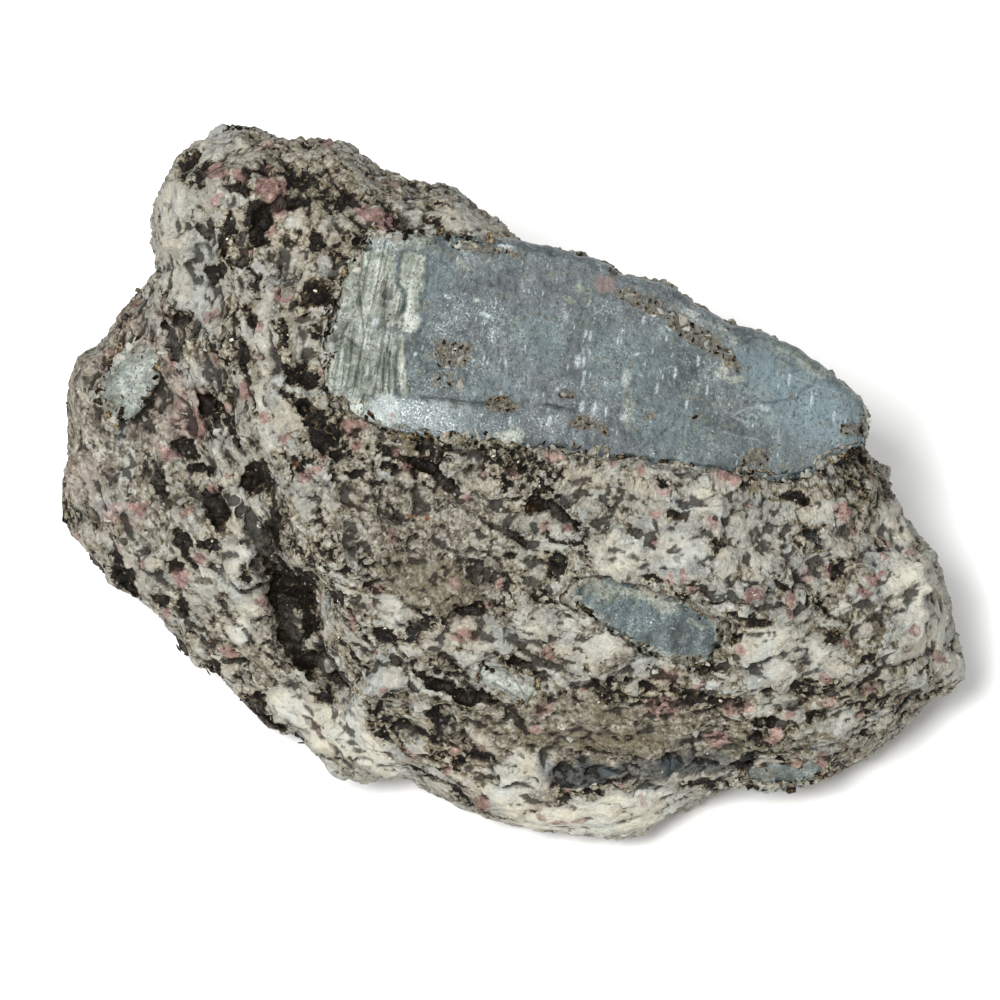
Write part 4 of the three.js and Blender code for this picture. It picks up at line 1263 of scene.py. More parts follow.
        (39.3, -14.1, 0.5, 0.5, 0, 0.8), (36.6, -4.6, 0.8, 0.25, 0, 0.7), (19.2, -21.2, 1.1, 0.7, -10, 0.85),
        (24.1, -20.6, 0.6, 0.9, -30, 1), (26.3, -23.1, 0.7, 0.5, 0, 0.9), (28.5, -23, 0.5, 1.1, -15, 0.95),
        (21.5, -18.4, 0.9, 0.5, 0, 0.75), (28.8, -17.6, 0.9, 0.35, 30, 0.75), (17.2, -16, 0.5, 0.5, 0, 0.75),
        (32.4, -16.7, 0.8, 0.5, 30, 0.65), (20, -18.6, 0.5, 0.8, 0, 0.65), (25.6, -19.1, 0.5, 0.4, 0, 0.6),
    ),
    Stain.OLIVE: ovals(
        (-6.4, -7.4, 4.6, 2.4, -20, 0.8), (-0.4, 4.8, 3.2, 0.9, -5, 0.8), (-8.8, 5, 1.9, 1, -15, 0.8),
        (-16.5, 27, 3.4, 1.6, -20, 0.5), (8, -21, 8, 1, -3, 0.6), (23.2, 0, 2.2, 1, -10, 0.8),
        (22.2, 3, 0.8, 1, 0, 0.6), (31.4, 1.2, 3.6, 2.4, -30, 0.7), (32, -11.4, 2.3, 2.2, 0, 0.6),
        (24, -21.6, 5, 1.4, 0, 0.4), (9.4, -18.6, 1.8, 0.9, -10, 0.6), (2.6, 3, 1.6, 1.2, -40, 0.5),
        (2, -19, 16, 6, -12, 0.35), (24, -16, 12, 7, 12, 0.3),
    ),
    Stain.RUST: ovals(
        (-6.6, -1.6, 0.35, 0.3, 0, 1.2), (-8, -1.3, 0.4, 0.3, 0, 0.5), (15.6, -1.7, 0.4, 0.3, 0, 0.8),
        (12.7, -26.6, 0.6, 0.3, 0, 0.35), (-17.7, 3.3, 0.25, 0.3, 0, 0.5), (-10.8, -13.6, 0.15, 0.15, 0, 1),
        (3, -0.9, 0.9, 0.3, -10, 0.35), (22, -0.4, 1, 0.2, -10, 0.35),
    ),
    Stain.EVEN: ovals(
        (-37, 12, 7, 12, 20, 0.5), (-30, 4, 5, 8, 0, 0.3), (-6, -3, 9, 5, -15, 0.5),
        (-4, -8.6, 7, 2.4, -15, 0.4), (24, -8, 15, 9, -15, 0.2), (8, -20.4, 14, 3, 0, 0.7),
        (-13, 27, 7, 2, -20, 0.3), (-22, -12, 6, 5, -30, 0.4), (12, -23.8, 10, 1.3, 4, 0.5),
    ),
    Stain.BLUE_DARK: ovals(
        (7, -24.2, 3.4, 1.2, 0, 0.75), (12.4, -23.8, 3.6, 0.9, 4, 0.6), (17.6, -23.3, 3.6, 1.1, 4, 0.65),
        (27.5, -3.8, 1, 0.8, 0, 0.3), (-7.4, -11.6, 1, 0.7, 0, 0.3),
    ),
}


@dataclass
class GneissRock:
    """The matrix: the CAD rock with its pockets filled under the blades, cragged and grained all over."""

    voxel: float = 0.27
    smoothing: int = 8
    blade_growth: float = 0.45
    blade_drop: float = 0.8
    crag: float = 0.55
    dome: float = 0.5
    hollow: float = 0.32
    wobble: float = 0.8
    lap: float = 1.3
    lip: float = 0.12
    clearance: float = 0.9
    spike: float = 0.22
    cuts: tuple[float, ...] = (-13.0, 12.0)
    finish: GneissFinish = field(default_factory=GneissFinish)

    def solid(self, node: str, growth: float = 0.0, drop: float = 0.0) -> bpy.types.Mesh:
        """A merged copy of a CAD node.

        Args:
            node: the node's name.
            growth: how far it swells all round, in millimetres.
            drop: how far it sinks away from the show face, in millimetres.

        Returns:
            The copy, as a mesh.
        """
        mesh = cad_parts[node].data.copy()
        work = bmesh.new()
        work.from_mesh(mesh)
        bmesh.ops.remove_doubles(work, verts=work.verts, dist=1e-6)
        work.to_mesh(mesh)
        work.free()
        sink = np.array(FACE.direction((0, 0, 1))) * drop * MM
        set_points(mesh, points_of(mesh) + normals_of(mesh) * growth * MM - sink)
        return mesh

    def base(self, blades: Sequence[str]) -> bpy.types.Mesh:
        """Joins the rock and the sunk blades.

        Args:
            blades: the names of the blades' CAD nodes.

        Returns:
            One closed mesh of even faces.
        """
        work = bmesh.new()
        sunk = [self.solid(name, self.blade_growth, self.blade_drop) for name in blades]
        for mesh in [self.solid("gneiss_matrix"), *sunk]:
            work.from_mesh(mesh)
            bpy.data.meshes.remove(mesh)
        union = bpy.data.meshes.new("gneiss")
        work.to_mesh(union)
        work.free()
        union.materials.clear()
        thing = stand_in(union)
        remesh = thing.modifiers.new("even", "REMESH")
        remesh.mode = "VOXEL"
        remesh.voxel_size = self.voxel * MM
        remesh.use_smooth_shade = True
        worn = thing.modifiers.new("worn", "SMOOTH")
        worn.factor = 0.5
        worn.iterations = self.smoothing
        return baked(thing)

    def paint(self, mesh: bpy.types.Mesh) -> None:
        """Folds the face and stores how rich each point is in each mineral.

        Args:
            mesh: the rock, before its relief.
        """
        places = FACE.read(points_of(mesh))
        u, v = Lattice(11).sway(places, self.wobble, pitch=1.2, apart=50)
        facing = smoothstep(-0.25, 0.25, normals_of(mesh) @ FACE.axes[2])
        for fold in FOLDS:
            places[:, 2] += fold.rise * fold.mark.share(u, v) * facing
        set_points(mesh, keep_in_box(FACE.place(places)))
        rows, across = FIELD.layers(places)
        set_vectors(mesh, "layers", rows)
        set_vectors(mesh, "across", across)
        totals = {stain.value[0]: np.zeros(len(places)) for stain in Stain}
        for stain, marks in PATCHES.items():
            attribute, sign = stain.value
            for mark in marks:
                totals[attribute] += sign * mark.share(u, v) * facing
        for attribute, total in totals.items():
            set_attribute(mesh, attribute, total)

    def relief(self, mesh: bpy.types.Mesh) -> bpy.types.Mesh:
        """Raises the feldspar grains, sinks the mica and crags the whole, but for the flat foot.

        Args:
            mesh: the painted rock.

        Returns:
            The rock with its relief, and its shares of pale and dark grains stored.
        """
        sizes = {"Crag": self.crag * MM, "Grain dome": self.dome * MM, "Mica hollow": self.hollow * MM}
        tree, given, result = geometry_tree("gneiss relief", sizes)
        add = partial(wire, tree)
        felsic, rose, even = (add(NAMED_NUMBER, (name,)) for name in ("felsic", "rose", "even"))
        minerals = FIELD.nodes(tree, add(NAMED_VECTOR, ("layers",)), felsic, rose, even)
        pale, dark, crumb = (minerals[name] for name in ("pale", "dark", "crumb"))

        # Slow crags, and on them the domed and chipped grains, lower where they are mixed or massed.
        craggy = add(SUBTRACT, (add(NOISE, (minerals["layered"], 0.3, 4.0, 0.6)), 0.5))
        crags = add(MULTIPLY, (add(MULTIPLY, (craggy, given.outputs["Crag"])), 4.0))
        chipped = mixture(tree, minerals["broken"], (minerals["dome"], 0.5), (minerals["chipped"], 0.6))
        mixed = add(MULTIPLY, (chipped, add(MULTIPLY_ADD, (pale, 0.7, 0.3))))
        massed = add(MULTIPLY, (mixed, add(RANGE, (felsic, 0.5, 1.6, 1.0, 0.45))))
        domed = add(MULTIPLY_ADD, (massed, given.outputs["Grain dome"], crags))

        # Mica is sunk, each crumb by its own depth, and deepest in the named pits.
        crumbs = add(MULTIPLY_ADD, (crumb["Z"], 0.9, 0.4))
        gnawed = add(MULTIPLY, (crumbs, add(RANGE, (felsic, -2.0, -3.0, 1.0, 4.0))))
        pit = add(MULTIPLY, (add(MULTIPLY, (dark, gnawed)), given.outputs["Mica hollow"]))
        height = add(SUBTRACT, (domed, pit))

        # The foot stays flat.
        level = add(SPLIT, (add(POSITION),), out="Z")
        calmed = add(MULTIPLY, (height, add(SMOOTH, (level, 0.1 * MM, 2 * MM))))
        outward = add(SCALE, (add("GeometryNodeInputNormal"), calmed))
        moved = add(SET_POSITION, (given.outputs["Geometry"], outward))
        for name in ("pale", "dark"):
            moved = add(STORE, (moved, name + "_share", minerals[name]), domain="POINT")
        tree.links.new(moved, result.inputs[0])
        return run_tree(mesh, tree, sizes)

    def fit_blades(self, mesh: bpy.types.Mesh, blades: Sequence["KyaniteBlade"]) -> None:
        """Presses the rock down under each blade and laps it unevenly over the blade's rim.

        Args:
            mesh: the rock with its relief.
            blades: the blades.
        """
        places = FACE.read(points_of(mesh))
        noise = Lattice(17)
        ragged = self.lap * (noise.rough(places, 2.2) + 0.15)
        bulge = 0.25 * noise.at(places + 20, 0.8)
        bare = np.ones(len(places))
        above, below, beside, shallow = 6.0, 4.0, 1.5, 1.6
        for blade in blades:
            # Where the rim stands free, the rock's side is drawn in under the blade.
            own = blade.read(places)
            free = blade.freedom(places)
            own[:, :2] += blade.inward(own[:, :2]) * free[:, None]
            depth = blade.depth_inside(own[:, 0], own[:, 1]) - ragged * (1 - free)
            level = blade.height(own[:, 0], own[:, 1])
            near = (depth > -beside) & (own[:, 2] > level - below) & (own[:, 2] < level + above)

            # The rock beside the rim comes up over it.
            close = near & (own[:, 2] > level - shallow)
            lapping = smoothstep(-1.2, -0.3, depth) * (1 - smoothstep(0.0, 0.35, depth)) * (1 - free)
            lifted = own[:, 2] * (1 - lapping) + (level + self.lip + bulge) * lapping
            own[:, 2] = np.where(close, np.maximum(own[:, 2], lifted), own[:, 2])

            # The rock inside the rim goes down under the blade, and keeps no loose grains.
            pressing = np.maximum(smoothstep(0.05, 0.45, depth), free * smoothstep(-beside, -0.5, depth))
            pressed = own[:, 2] * (1 - pressing) + (level - self.clearance) * pressing
            own[:, 2] = np.where(near, np.minimum(own[:, 2], pressed), own[:, 2])
            places = np.where(near[:, None], blade.write(own), places)
            bare = np.minimum(bare, np.where(near, 1 - smoothstep(-0.1, 0.2, depth), 1.0))
        set_points(mesh, keep_in_box(FACE.place(places)))
        for name in ("pale_share", "dark_share"):
            layer = mesh.attributes[name].data
            shares = np.empty(len(layer))
            layer.foreach_get("value", shares)
            layer.foreach_set("value", (shares * bare).astype(np.float32))

    def split(self, mesh: bpy.types.Mesh) -> list[bpy.types.Mesh]:
        """Cuts the rock across into closed parts small enough to keep whole.

        Args:
            mesh: the finished rock.

        Returns:
            The parts from left to right, shaded as if the rock were whole.
        """
        set_vectors(mesh, "whole_normal", normals_of(mesh))
        limits = [None, *self.cuts, None]
        parts = []
        for low, high in zip(limits, limits[1:]):
            work = bmesh.new()
            work.from_mesh(mesh)
            for limit, side in ((low, -1), (high, 1)):
                if limit is not None:
                    everything = work.verts[:] + work.edges[:] + work.faces[:]
                    bmesh.ops.bisect_plane(
                        work, geom=everything, plane_co=(limit * MM, 0, 0), plane_no=(side, 0, 0),
                        clear_outer=True,
                    )
                    rim = [edge.link_loops[0] for edge in work.edges if edge.is_boundary]
                    middle = work.verts.new(sum((loop.vert.co for loop in rim), Vector()) / len(rim))
                    for loop in rim:
                        work.faces.new((loop.link_loop_next.vert, loop.vert, middle))
            part = bpy.data.meshes.new("gneiss_part")
            work.to_mesh(part)
            work.free()
            part.shade_smooth()
            normals = np.empty(len(part.vertices) * 3, np.float32)
            part.attributes["whole_normal"].data.foreach_get("vector", normals)
            part.normals_split_custom_set_from_vertices(normals.reshape(-1, 3).tolist())
            part.attributes.remove(part.attributes["whole_normal"])
            parts.append(part)
        return parts

    def build(self, blades: Sequence["KyaniteBlade"]) -> bpy.types.Mesh:
        """Builds and dresses the rock.

        Args:
            blades: the kyanite that it has to make room for.

        Returns:
            The whole rock's mesh, for the grains that are strewn on it.
        """
        mesh = self.base([blade.name for blade in blades])
        self.paint(mesh)
        mesh = self.relief(mesh)
        blunt_spikes(mesh, self.spike)
        self.fit_blades(mesh, blades)
        # How deep each point lies in the rock's hollows, where the finish paints shade.
        set_attribute(mesh, "hollow", hollowness(mesh, 8) / 0.16 + hollowness(mesh, 60) / 0.9)
        material = self.finish.make()
        for side, part in zip(("left", "middle", "right"), self.split(mesh)):
            part.materials.clear()
            part.materials.append(material)
            piece(part, f"gneiss_{side}", "gneiss", "gneiss_matrix")
        return mesh


# ---- Loose grains ----


class Habit(Enum):
    """The shapes that the loose grains take."""

    LUMP = "lump"
    FLAKE = "flake"


def grain_shape(habit: Habit, seed: int) -> bpy.types.Mesh:
    """Makes one grain about 1 unit across.

    Args:
        habit: its shape.
        seed: fixes its random part.

    Returns:
        The grain's closed mesh, of a few dozen faces.
    """
    random = np.random.default_rng(seed)
    if habit is Habit.LUMP:
        ways = random.normal(size=(11, 3))
        points = ways / np.linalg.norm(ways, axis=1)[:, None] * (0.62, 0.5, 0.3)
        points *= random.uniform(0.8, 1.15, (11, 1))
    else:
        turns = np.sort(random.uniform(0, 2 * math.pi, 6) * 0.25 + np.arange(6) * math.pi / 3)
        ring = np.stack([np.cos(turns) * 0.6, np.sin(turns) * 0.42], axis=1)
        ring *= random.uniform(0.8, 1.1, (6, 1))
        levels = [np.column_stack([ring * wider, np.full(6, z)]) for wider, z in ((1.0, 0.06), (1.06, -0.06))]
        points = np.concatenate(levels)
    work = bmesh.new()
    for point in points:
        work.verts.new(point)
    hull = bmesh.ops.convex_hull(work, input=work.verts)
    bmesh.ops.delete(
        work, geom=[v for v in hull["geom_interior"] if isinstance(v, bmesh.types.BMVert)], context="VERTS",
    )
    bmesh.ops.recalc_face_normals(work, faces=work.faces)
    mesh = bpy.data.meshes.new(f"{habit.value}_{seed}")
    work.to_mesh(mesh)
    work.free()
    return mesh


@dataclass
class Scatter:
    """Grains of one mineral strewn over the rock where the rock is rich in it, half sunk in its face."""

    name: str
    habit: Habit
    share: str
    spacing: float
    smallest: float
    largest: float
    sink: float
    tilt: float
    finish: GrainFinish
    slot: str = "gneiss"
    seed: int = 1
    shapes: int = 5

    def points(self, tree: bpy.types.NodeTree, given: Any) -> tuple[Any, Any]:
        """Adds the nodes that cast the grains' places on the rock.

        Args:
            tree: the scattering tree.
            given: its input node.

        Returns:
            The sockets of the points and of the direction that each looks out.
        """
        add = partial(wire, tree)
        density = add(NAMED_NUMBER, (self.share,))
        level = add(SPLIT, (add(POSITION),), out="Z")
        clear = add(GREATER_THAN, (level, 0.6 * MM))
        inputs = {
            "Mesh": given.outputs["Geometry"], "Distance Min": given.outputs["Spacing"], "Density Max": 4e6,
            "Density Factor": add(MULTIPLY, (density, clear)), "Seed": self.seed,
        }
        cast = add("GeometryNodeDistributePointsOnFaces", inputs, distribute_method="POISSON").node
        return cast.outputs["Points"], cast.outputs["Normal"]

    def tree(
        self, sizes: dict[str, float], shapes: Sequence[bpy.types.Object], material: bpy.types.Material,
    ) -> bpy.types.NodeTree:
        """Builds the scattering tree.

        Args:
            sizes: its named inputs.
            shapes: the grains that it picks from.
            material: their finish.

        Returns:
            The tree.
        """
        tree, given, result = geometry_tree(self.name, sizes)
        add = partial(wire, tree)
        points, normal = self.points(tree, given)
        size = add(RANDOM, (given.outputs["Smallest"], given.outputs["Largest"], self.seed + 1))
        depth = add(MULTIPLY, (size, given.outputs["Sink"]))
        inward = add(MULTIPLY, (depth, -1.0))
        shift = add(SCALE, (normal, inward))
        sunk = add(SET_POSITION, (points, shift))
        across = add(NAMED_VECTOR, ("across",))
        half = add(VECTOR_MULTIPLY_ADD, (across, (0.8,) * 3, normal))
        upright = add("FunctionNodeAlignRotationToVector", {"Vector": half}, axis="Z")
        spin = add(
            RANDOM_VECTOR,
            ((-self.tilt, -self.tilt, -math.pi), (self.tilt, self.tilt, math.pi), self.seed + 2),
        )
        turn = add(
            "FunctionNodeRotateRotation", {"Rotation": upright, "Rotate By": spin}, rotation_space="LOCAL",
        )
        joined = add("GeometryNodeJoinGeometry").node
        for shape in shapes:
            info = add("GeometryNodeObjectInfo", {"Object": shape, "As Instance": True}, out="Geometry")
            tree.links.new(info, joined.inputs[0])
        pick = add(RANDOM_WHOLE, (0, len(shapes) - 1, self.seed + 3))
        strewn = add(
            "GeometryNodeInstanceOnPoints",
            {
                "Points": sunk, "Instance": joined.outputs[0], "Pick Instance": True, "Instance Index": pick,
                "Rotation": turn, "Scale": size,
            },
        )
        tone = add(RANDOM, (0.0, 1.0, self.seed + 4))
        toned = add(STORE, (strewn, "tone", tone), domain="INSTANCE")
        solid = add("GeometryNodeRealizeInstances", {"Geometry": toned})
        dressed = add("GeometryNodeSetMaterial", {"Geometry": solid, "Material": material})
        tree.links.new(dressed, result.inputs[0])
        return tree

    def build(self, rock: bpy.types.Mesh) -> None:
        """Strews the grains and makes them one piece.

        Args:
            rock: the mesh that they are strewn on.
        """
        sizes = {
            "Spacing": self.spacing * MM, "Smallest": self.smallest * MM, "Largest": self.largest * MM,
            "Sink": self.sink,
        }
        shapes = [stand_in(grain_shape(self.habit, self.seed * 10 + k)) for k in range(self.shapes)]
        mesh = run_tree(rock.copy(), self.tree(sizes, shapes, self.finish.make()), sizes)
        for shape in shapes:
            bpy.data.meshes.remove(shape.data)
        mesh.shade_flat()
        set_points(mesh, keep_in_box(points_of(mesh)))
        piece(mesh, self.name, self.slot)


@dataclass
class RimScatter(Scatter):
    """Grains of one mineral that lap the rims of the blades, where rock and kyanite grew into each other."""

    wander: float = 0.4

    def points(self, tree: bpy.types.NodeTree, given: Any) -> tuple[Any, Any]:
        """Adds the nodes that set the grains' places along the rims.

        Args:
            tree: the scattering tree.
            given: its input node.

        Returns:
            The sockets of the points and of the direction that each looks out.
        """
        add = partial(wire, tree)
        curve = add("GeometryNodeMeshToCurve", {"Mesh": given.outputs["Geometry"]})
        even = add(
            "GeometryNodeCurveToPoints", {"Curve": curve, "Length": given.outputs["Spacing"]}, mode="LENGTH",
        )
        reach = self.wander * MM
        stray = add(RANDOM_VECTOR, ((-reach,) * 3, (reach,) * 3, self.seed + 7))
        strayed = add(SET_POSITION, (even, stray))
        out = add(NORMALIZE, (tuple(FACE.direction((0, 0, 1))),))
        return strayed, out


# ---- Kyanite ----


def run_along(line: Sequence[Sequence[float]], shares: np.ndarray) -> np.ndarray:
    """Walks along a bent line.

    Args:
        line: its corners.
        shares: how far to walk, as shares of its length.

    Returns:
        The point at each share.
    """
    corners = np.array(line, float)
    lengths = np.concatenate([[0], np.cumsum(np.linalg.norm(np.diff(corners, axis=0), axis=1))])
    steps = shares * lengths[-1]
    return np.column_stack([np.interp(steps, lengths, corners[:, axis]) for axis in (0, 1)])


@dataclass(frozen=True)
class Fibres:
    """A splayed end of a blade: ribs of thin splinters side by side, each broken off at its own height."""

    zone: Mark
    rib: tuple[float, float] = (0.95, 9.0)
    splinter: tuple[float, float] = (0.3, 4.5)
    hair: tuple[float, float] = (0.12, 2.6)
    depth: float = 0.55
    seed: int = 77

    def read(self, x: np.ndarray, y: np.ndarray) -> tuple[np.ndarray, np.ndarray, np.ndarray]:
        """Reads the fibres at some points of the blade's own frame.

        Args:
            x: distance along the blade.
            y: distance across it, along the fibres.

        Returns:
            How far each point stands below the blade's face, its fibre's lightness, and how much the gap
            between fibres is darkened with painted shade.
        """
        noise = Lattice(self.seed)
        swayed = x + 0.35 * noise.rough(np.column_stack([x * 0.3, y / 6, x * 0]), 1.0, 3)
        ribs, rib_edge = Cells(self.seed).read(swayed, y, *self.rib)
        splinters, edge = Cells(self.seed + 1).read(swayed, y, *self.splinter)
        hairs = noise.at(np.column_stack([swayed / self.hair[0], y / self.hair[1], x * 0]), 1.0)
        down = self.depth * (0.6 * ribs[:, 0] + 0.4 * splinters[:, 0] * ribs[:, 2]) + 0.03 * hairs
        down += 0.1 * smoothstep(0.3, 0.0, rib_edge)
        tone = np.clip(
            0.3 + 0.3 * ribs[:, 1] + 0.4 * splinters[:, 1] * (0.5 + ribs[:, 2]) + 0.3 * hairs, -0.1, 1.2,
        )
        between = smoothstep(0.25, 0.05, edge) * smoothstep(0.6, 0.95, splinters[:, 2])
        return (
            down, tone,
            np.maximum(0.25 * smoothstep(0.18, 0.02, rib_edge) * (1 - ribs[:, 1]), 0.35 * between),
        )


@dataclass(frozen=True)
class Cleavage:
    """The finest relief of a blade's face: how high or deep each kind of it is, in millimetres."""

    wave: float = 0.1
    step: float = 0.016
    grit: float = 0.03
    chip: float = 0.07
    crack: float = 0.22
    bevel: float = 0.12
    worn_rim: float = 0.18


@dataclass
class KyaniteBlade:
    """One kyanite blade: a closed slab whose face carries its steps, fibres, cracks and chips.

    Its own frame has x along the blade, y across it and z out of its face, in millimetres. low, right, high
    and left are its four sides in that frame. Its marks and terraces are placed in (u, v) of the show face.
    """

    name: str
    at: tuple[float, float, float]
    turn: float
    slope: tuple[float, float]
    thickness: float
    low: tuple[tuple[float, float], ...]
    right: tuple[tuple[float, float], ...]
    high: tuple[tuple[float, float], ...]
    left: tuple[tuple[float, float], ...]
    cells: tuple[int, int]
    piece: str
    slot: str = "kyanite_blue_grey"
    top: float = 0.0
    grow: float = 0.3
    seed: int = 5
    crowding: float = 0.0
    lap: float = 0.3
    halo: float = 0.0
    fibre_turn: float = 0.0
    crumbed: bool = True
    cleavage: Cleavage = Cleavage()
    tints: dict[str, tuple[str, ...]] = field(default_factory=dict)
    free_rim: "Area | None" = None
    terraces: tuple[Terrace, ...] = ()
    marks: dict[str, tuple[Mark, ...]] = field(default_factory=dict)
    all_over: dict[str, float] = field(default_factory=dict)
    fibres: "Fibres | None" = None

    @property
    def outline(self) -> list[tuple[float, float]]:
        """The blade's outline in its own frame."""
        return [*self.low[:-1], *self.right[:-1], *self.high[::-1][:-1], *self.left[::-1][:-1]]

    def read(self, places: np.ndarray) -> np.ndarray:
        """Turns places to the blade's own frame.

        Args:
            places: (u, v, w) rows in millimetres.

        Returns:
            Their (x, y, z) rows in millimetres, with z above the blade's plane.
        """
        u, v = places[:, 0] - self.at[0], places[:, 1] - self.at[1]
        w = places[:, 2] - self.at[2] - self.slope[0] * u - self.slope[1] * v
        c, s = math.cos(math.radians(self.turn)), math.sin(math.radians(self.turn))
        return np.column_stack([u * c + v * s, v * c - u * s, w])

    def write(self, own: np.ndarray) -> np.ndarray:
        """Turns places of the blade's own frame back.

        Args:
            own: (x, y, z) rows in millimetres.

        Returns:
            Their (u, v, w) rows in millimetres.
        """
        c, s = math.cos(math.radians(self.turn)), math.sin(math.radians(self.turn))
        u, v = own[:, 0] * c - own[:, 1] * s, own[:, 0] * s + own[:, 1] * c
        return np.column_stack([u, v, own[:, 2] + self.slope[0] * u + self.slope[1] * v]) + np.array(self.at)

    def depth_inside(self, x: np.ndarray, y: np.ndarray) -> np.ndarray:
        """Distance of each point in from the blade's outline, below 0 outside it."""
        return polygon_depth(self.outline, x, y)

    def freedom(self, places: np.ndarray) -> np.ndarray:
        """How far each (u, v, w) row is where the blade's rim stands free of the rock, from 0 to 1."""
        return self.free_rim.share(places[:, 0], places[:, 1]) if self.free_rim else np.zeros(len(places))

    def inward(self, own: np.ndarray) -> np.ndarray:
        """Finds the moves that bring points from just outside the outline to inside it.

        Args:
            own: rows of x and y in millimetres.

        Returns:
            Each point's move, which is 0 away from the outline.
        """
        depth = self.depth_inside(own[:, 0], own[:, 1])
        near = (depth > -2.5) & (depth < 0.6)
        moves = np.zeros_like(own)
        step = 0.05
        for axis, shift in enumerate(((step, 0), (0, step))):
            ahead = self.depth_inside(own[near, 0] + shift[0], own[near, 1] + shift[1])
            moves[near, axis] = (ahead - depth[near]) / step
        return moves * np.maximum(0, 0.6 - depth)[:, None]

    def height(self, x: np.ndarray, y: np.ndarray) -> np.ndarray:
        """Reads the height of the blade's face without its finest relief.

        Args:
            x: each point's distance along the blade, in millimetres.
            y: each point's distance across it.

        Returns:
            Each point's height above the blade's plane, in millimetres.
        """
        uvw = self.write(np.column_stack([x, y, np.zeros(len(x))]))
        u, v = Lattice(self.seed + 80).sway(uvw, reach=0.35, pitch=0.9, apart=30)
        total = np.full(len(x), self.top)
        for terrace in self.terraces:
            total += terrace.rise * terrace.mark.share(u, v)
        return total

    def fine_height(self, x: np.ndarray, y: np.ndarray) -> np.ndarray:
        """Reads the finest relief: cleavage steps, waves, grit, chips, cracks and fibres.

        Args:
            x: each point's distance along the blade, in millimetres.
            y: each point's distance across it.

        Returns:
            How much each point is raised, in millimetres.
        """
        relief = self.cleavage
        rows = np.column_stack([x, y, np.full(len(x), self.seed * 3.1)])
        noise = Lattice(self.seed)
        wave = relief.wave * noise.rough(rows, 3.2, 2)
        steps = np.round(2.2 * noise.rough(rows / np.array([1.0, 1.3, 1.0]), 1.3)) * relief.step
        grit = relief.grit * noise.at(rows / np.array([1.0, 1.4, 1.0]), 0.3)
        uvw = self.write(np.column_stack([x, y, np.zeros(len(x))]))
        chips, chip_edge = Cells(self.seed + 3).read(x, y, width=0.8, length=1.5)
        chipped = relief.chip * smoothstep(0.62, 1.0, chips[:, 0]) * smoothstep(0.0, 0.3, chip_edge)
        cracks = [relief.crack * mark.share(uvw[:, 0], uvw[:, 1]) for mark in self.marks.get("gap", ())]
        down = 0.0
        if self.fibres:
            down = self.fibres.read(x, y)[0] * self.fibres.zone.share(uvw[:, 0], uvw[:, 1])
        return wave + steps + grit - chipped - np.sum(cracks, axis=0) - down

    def grid(self) -> np.ndarray:
        """Fits the face's points between its four sides.

        Returns:
            Points of the blade's own frame, in rows across it.
        """
        across, along = self.cells
        share = np.linspace(0, 1, along + 1)
        share *= 1 + self.crowding * (share - 1)
        low, high = run_along(self.low, share), run_along(self.high, share)
        s, t = share[None, :, None], np.linspace(0, 1, across + 1)[:, None, None]
        left, right = run_along(self.left, t.ravel()), run_along(self.right, t.ravel())
        ruled = (1 - t) * low[None] + t * high[None] + (1 - s) * left[:, None] + s * right[:, None]
        corners = (1 - s) * (1 - t) * low[0] + s * (1 - t) * low[-1]
        corners = corners + (1 - s) * t * high[0] + s * t * high[-1]
        return ruled - corners

    def mesh(self) -> bpy.types.Mesh:
        """Makes the face, the sides and the hidden foot.

        Returns:
            The blade's closed mesh in the model's frame.
        """
        across, along = self.cells
        flat = self.grid().reshape(-1, 2)
        number = np.arange(len(flat)).reshape(across + 1, along + 1)
        rim = np.concatenate([number[0, :-1], number[:-1, -1], number[-1, :0:-1], number[:0:-1, 0]])
        noise = Lattice(self.seed + 40)
        depth = self.depth_inside(flat[:, 0], flat[:, 1])
        depth[rim] = 0.0
        rows = np.column_stack([flat, np.full(len(flat), 1.7)])
        chip = np.maximum(0, noise.rough(rows, 1.3)) * 0.9
        worn = -(self.cleavage.worn_rim + chip) * (1 - smoothstep(0.0, 0.35 + 0.9 * chip, depth))
        z = self.height(flat[:, 0], flat[:, 1]) + self.fine_height(flat[:, 0], flat[:, 1]) + worn
        edge = flat[rim]
        run = np.roll(edge, -1, axis=0) - np.roll(edge, 1, axis=0)
        length = np.maximum(np.linalg.norm(run, axis=1), 1e-6)[:, None]
        outward = np.column_stack([run[:, 1], -run[:, 0]]) / length
        points = [np.column_stack([flat, z])]
        bevel, rounding, foot = self.cleavage.bevel, 0.5, self.thickness - 0.6
        for out, down in ((bevel, bevel), (self.grow, rounding), (self.grow, foot)):
            jag = out * (1 + 0.5 * noise.at(np.column_stack([edge, np.full(len(edge), 9.0)]), 0.7))
            points.append(np.column_stack([edge + outward * jag[:, None], z[rim] - down]))
        faces = [
            (number[i, j], number[i, j + 1], number[i + 1, j + 1], number[i + 1, j])
            for i in range(across) for j in range(along)
        ]
        rings = [rim] + [len(flat) + k * len(rim) + np.arange(len(rim)) for k in range(3)]
        for upper, lower in zip(rings, rings[1:]):
            faces += list(zip(upper, lower, np.roll(lower, -1), np.roll(upper, -1)))
        own = np.concatenate(points)
        faces += [(a, len(own), b) for a, b in zip(rings[-1], np.roll(rings[-1], -1))]
        own = np.concatenate([own, [[*flat.mean(axis=0), own[rings[-1], 2].mean()]]])
        mesh = make_mesh(self.name, keep_in_box(FACE.place(self.write(own))), faces)
        self.mark(mesh, own)
        mesh.shade_smooth()
        return mesh

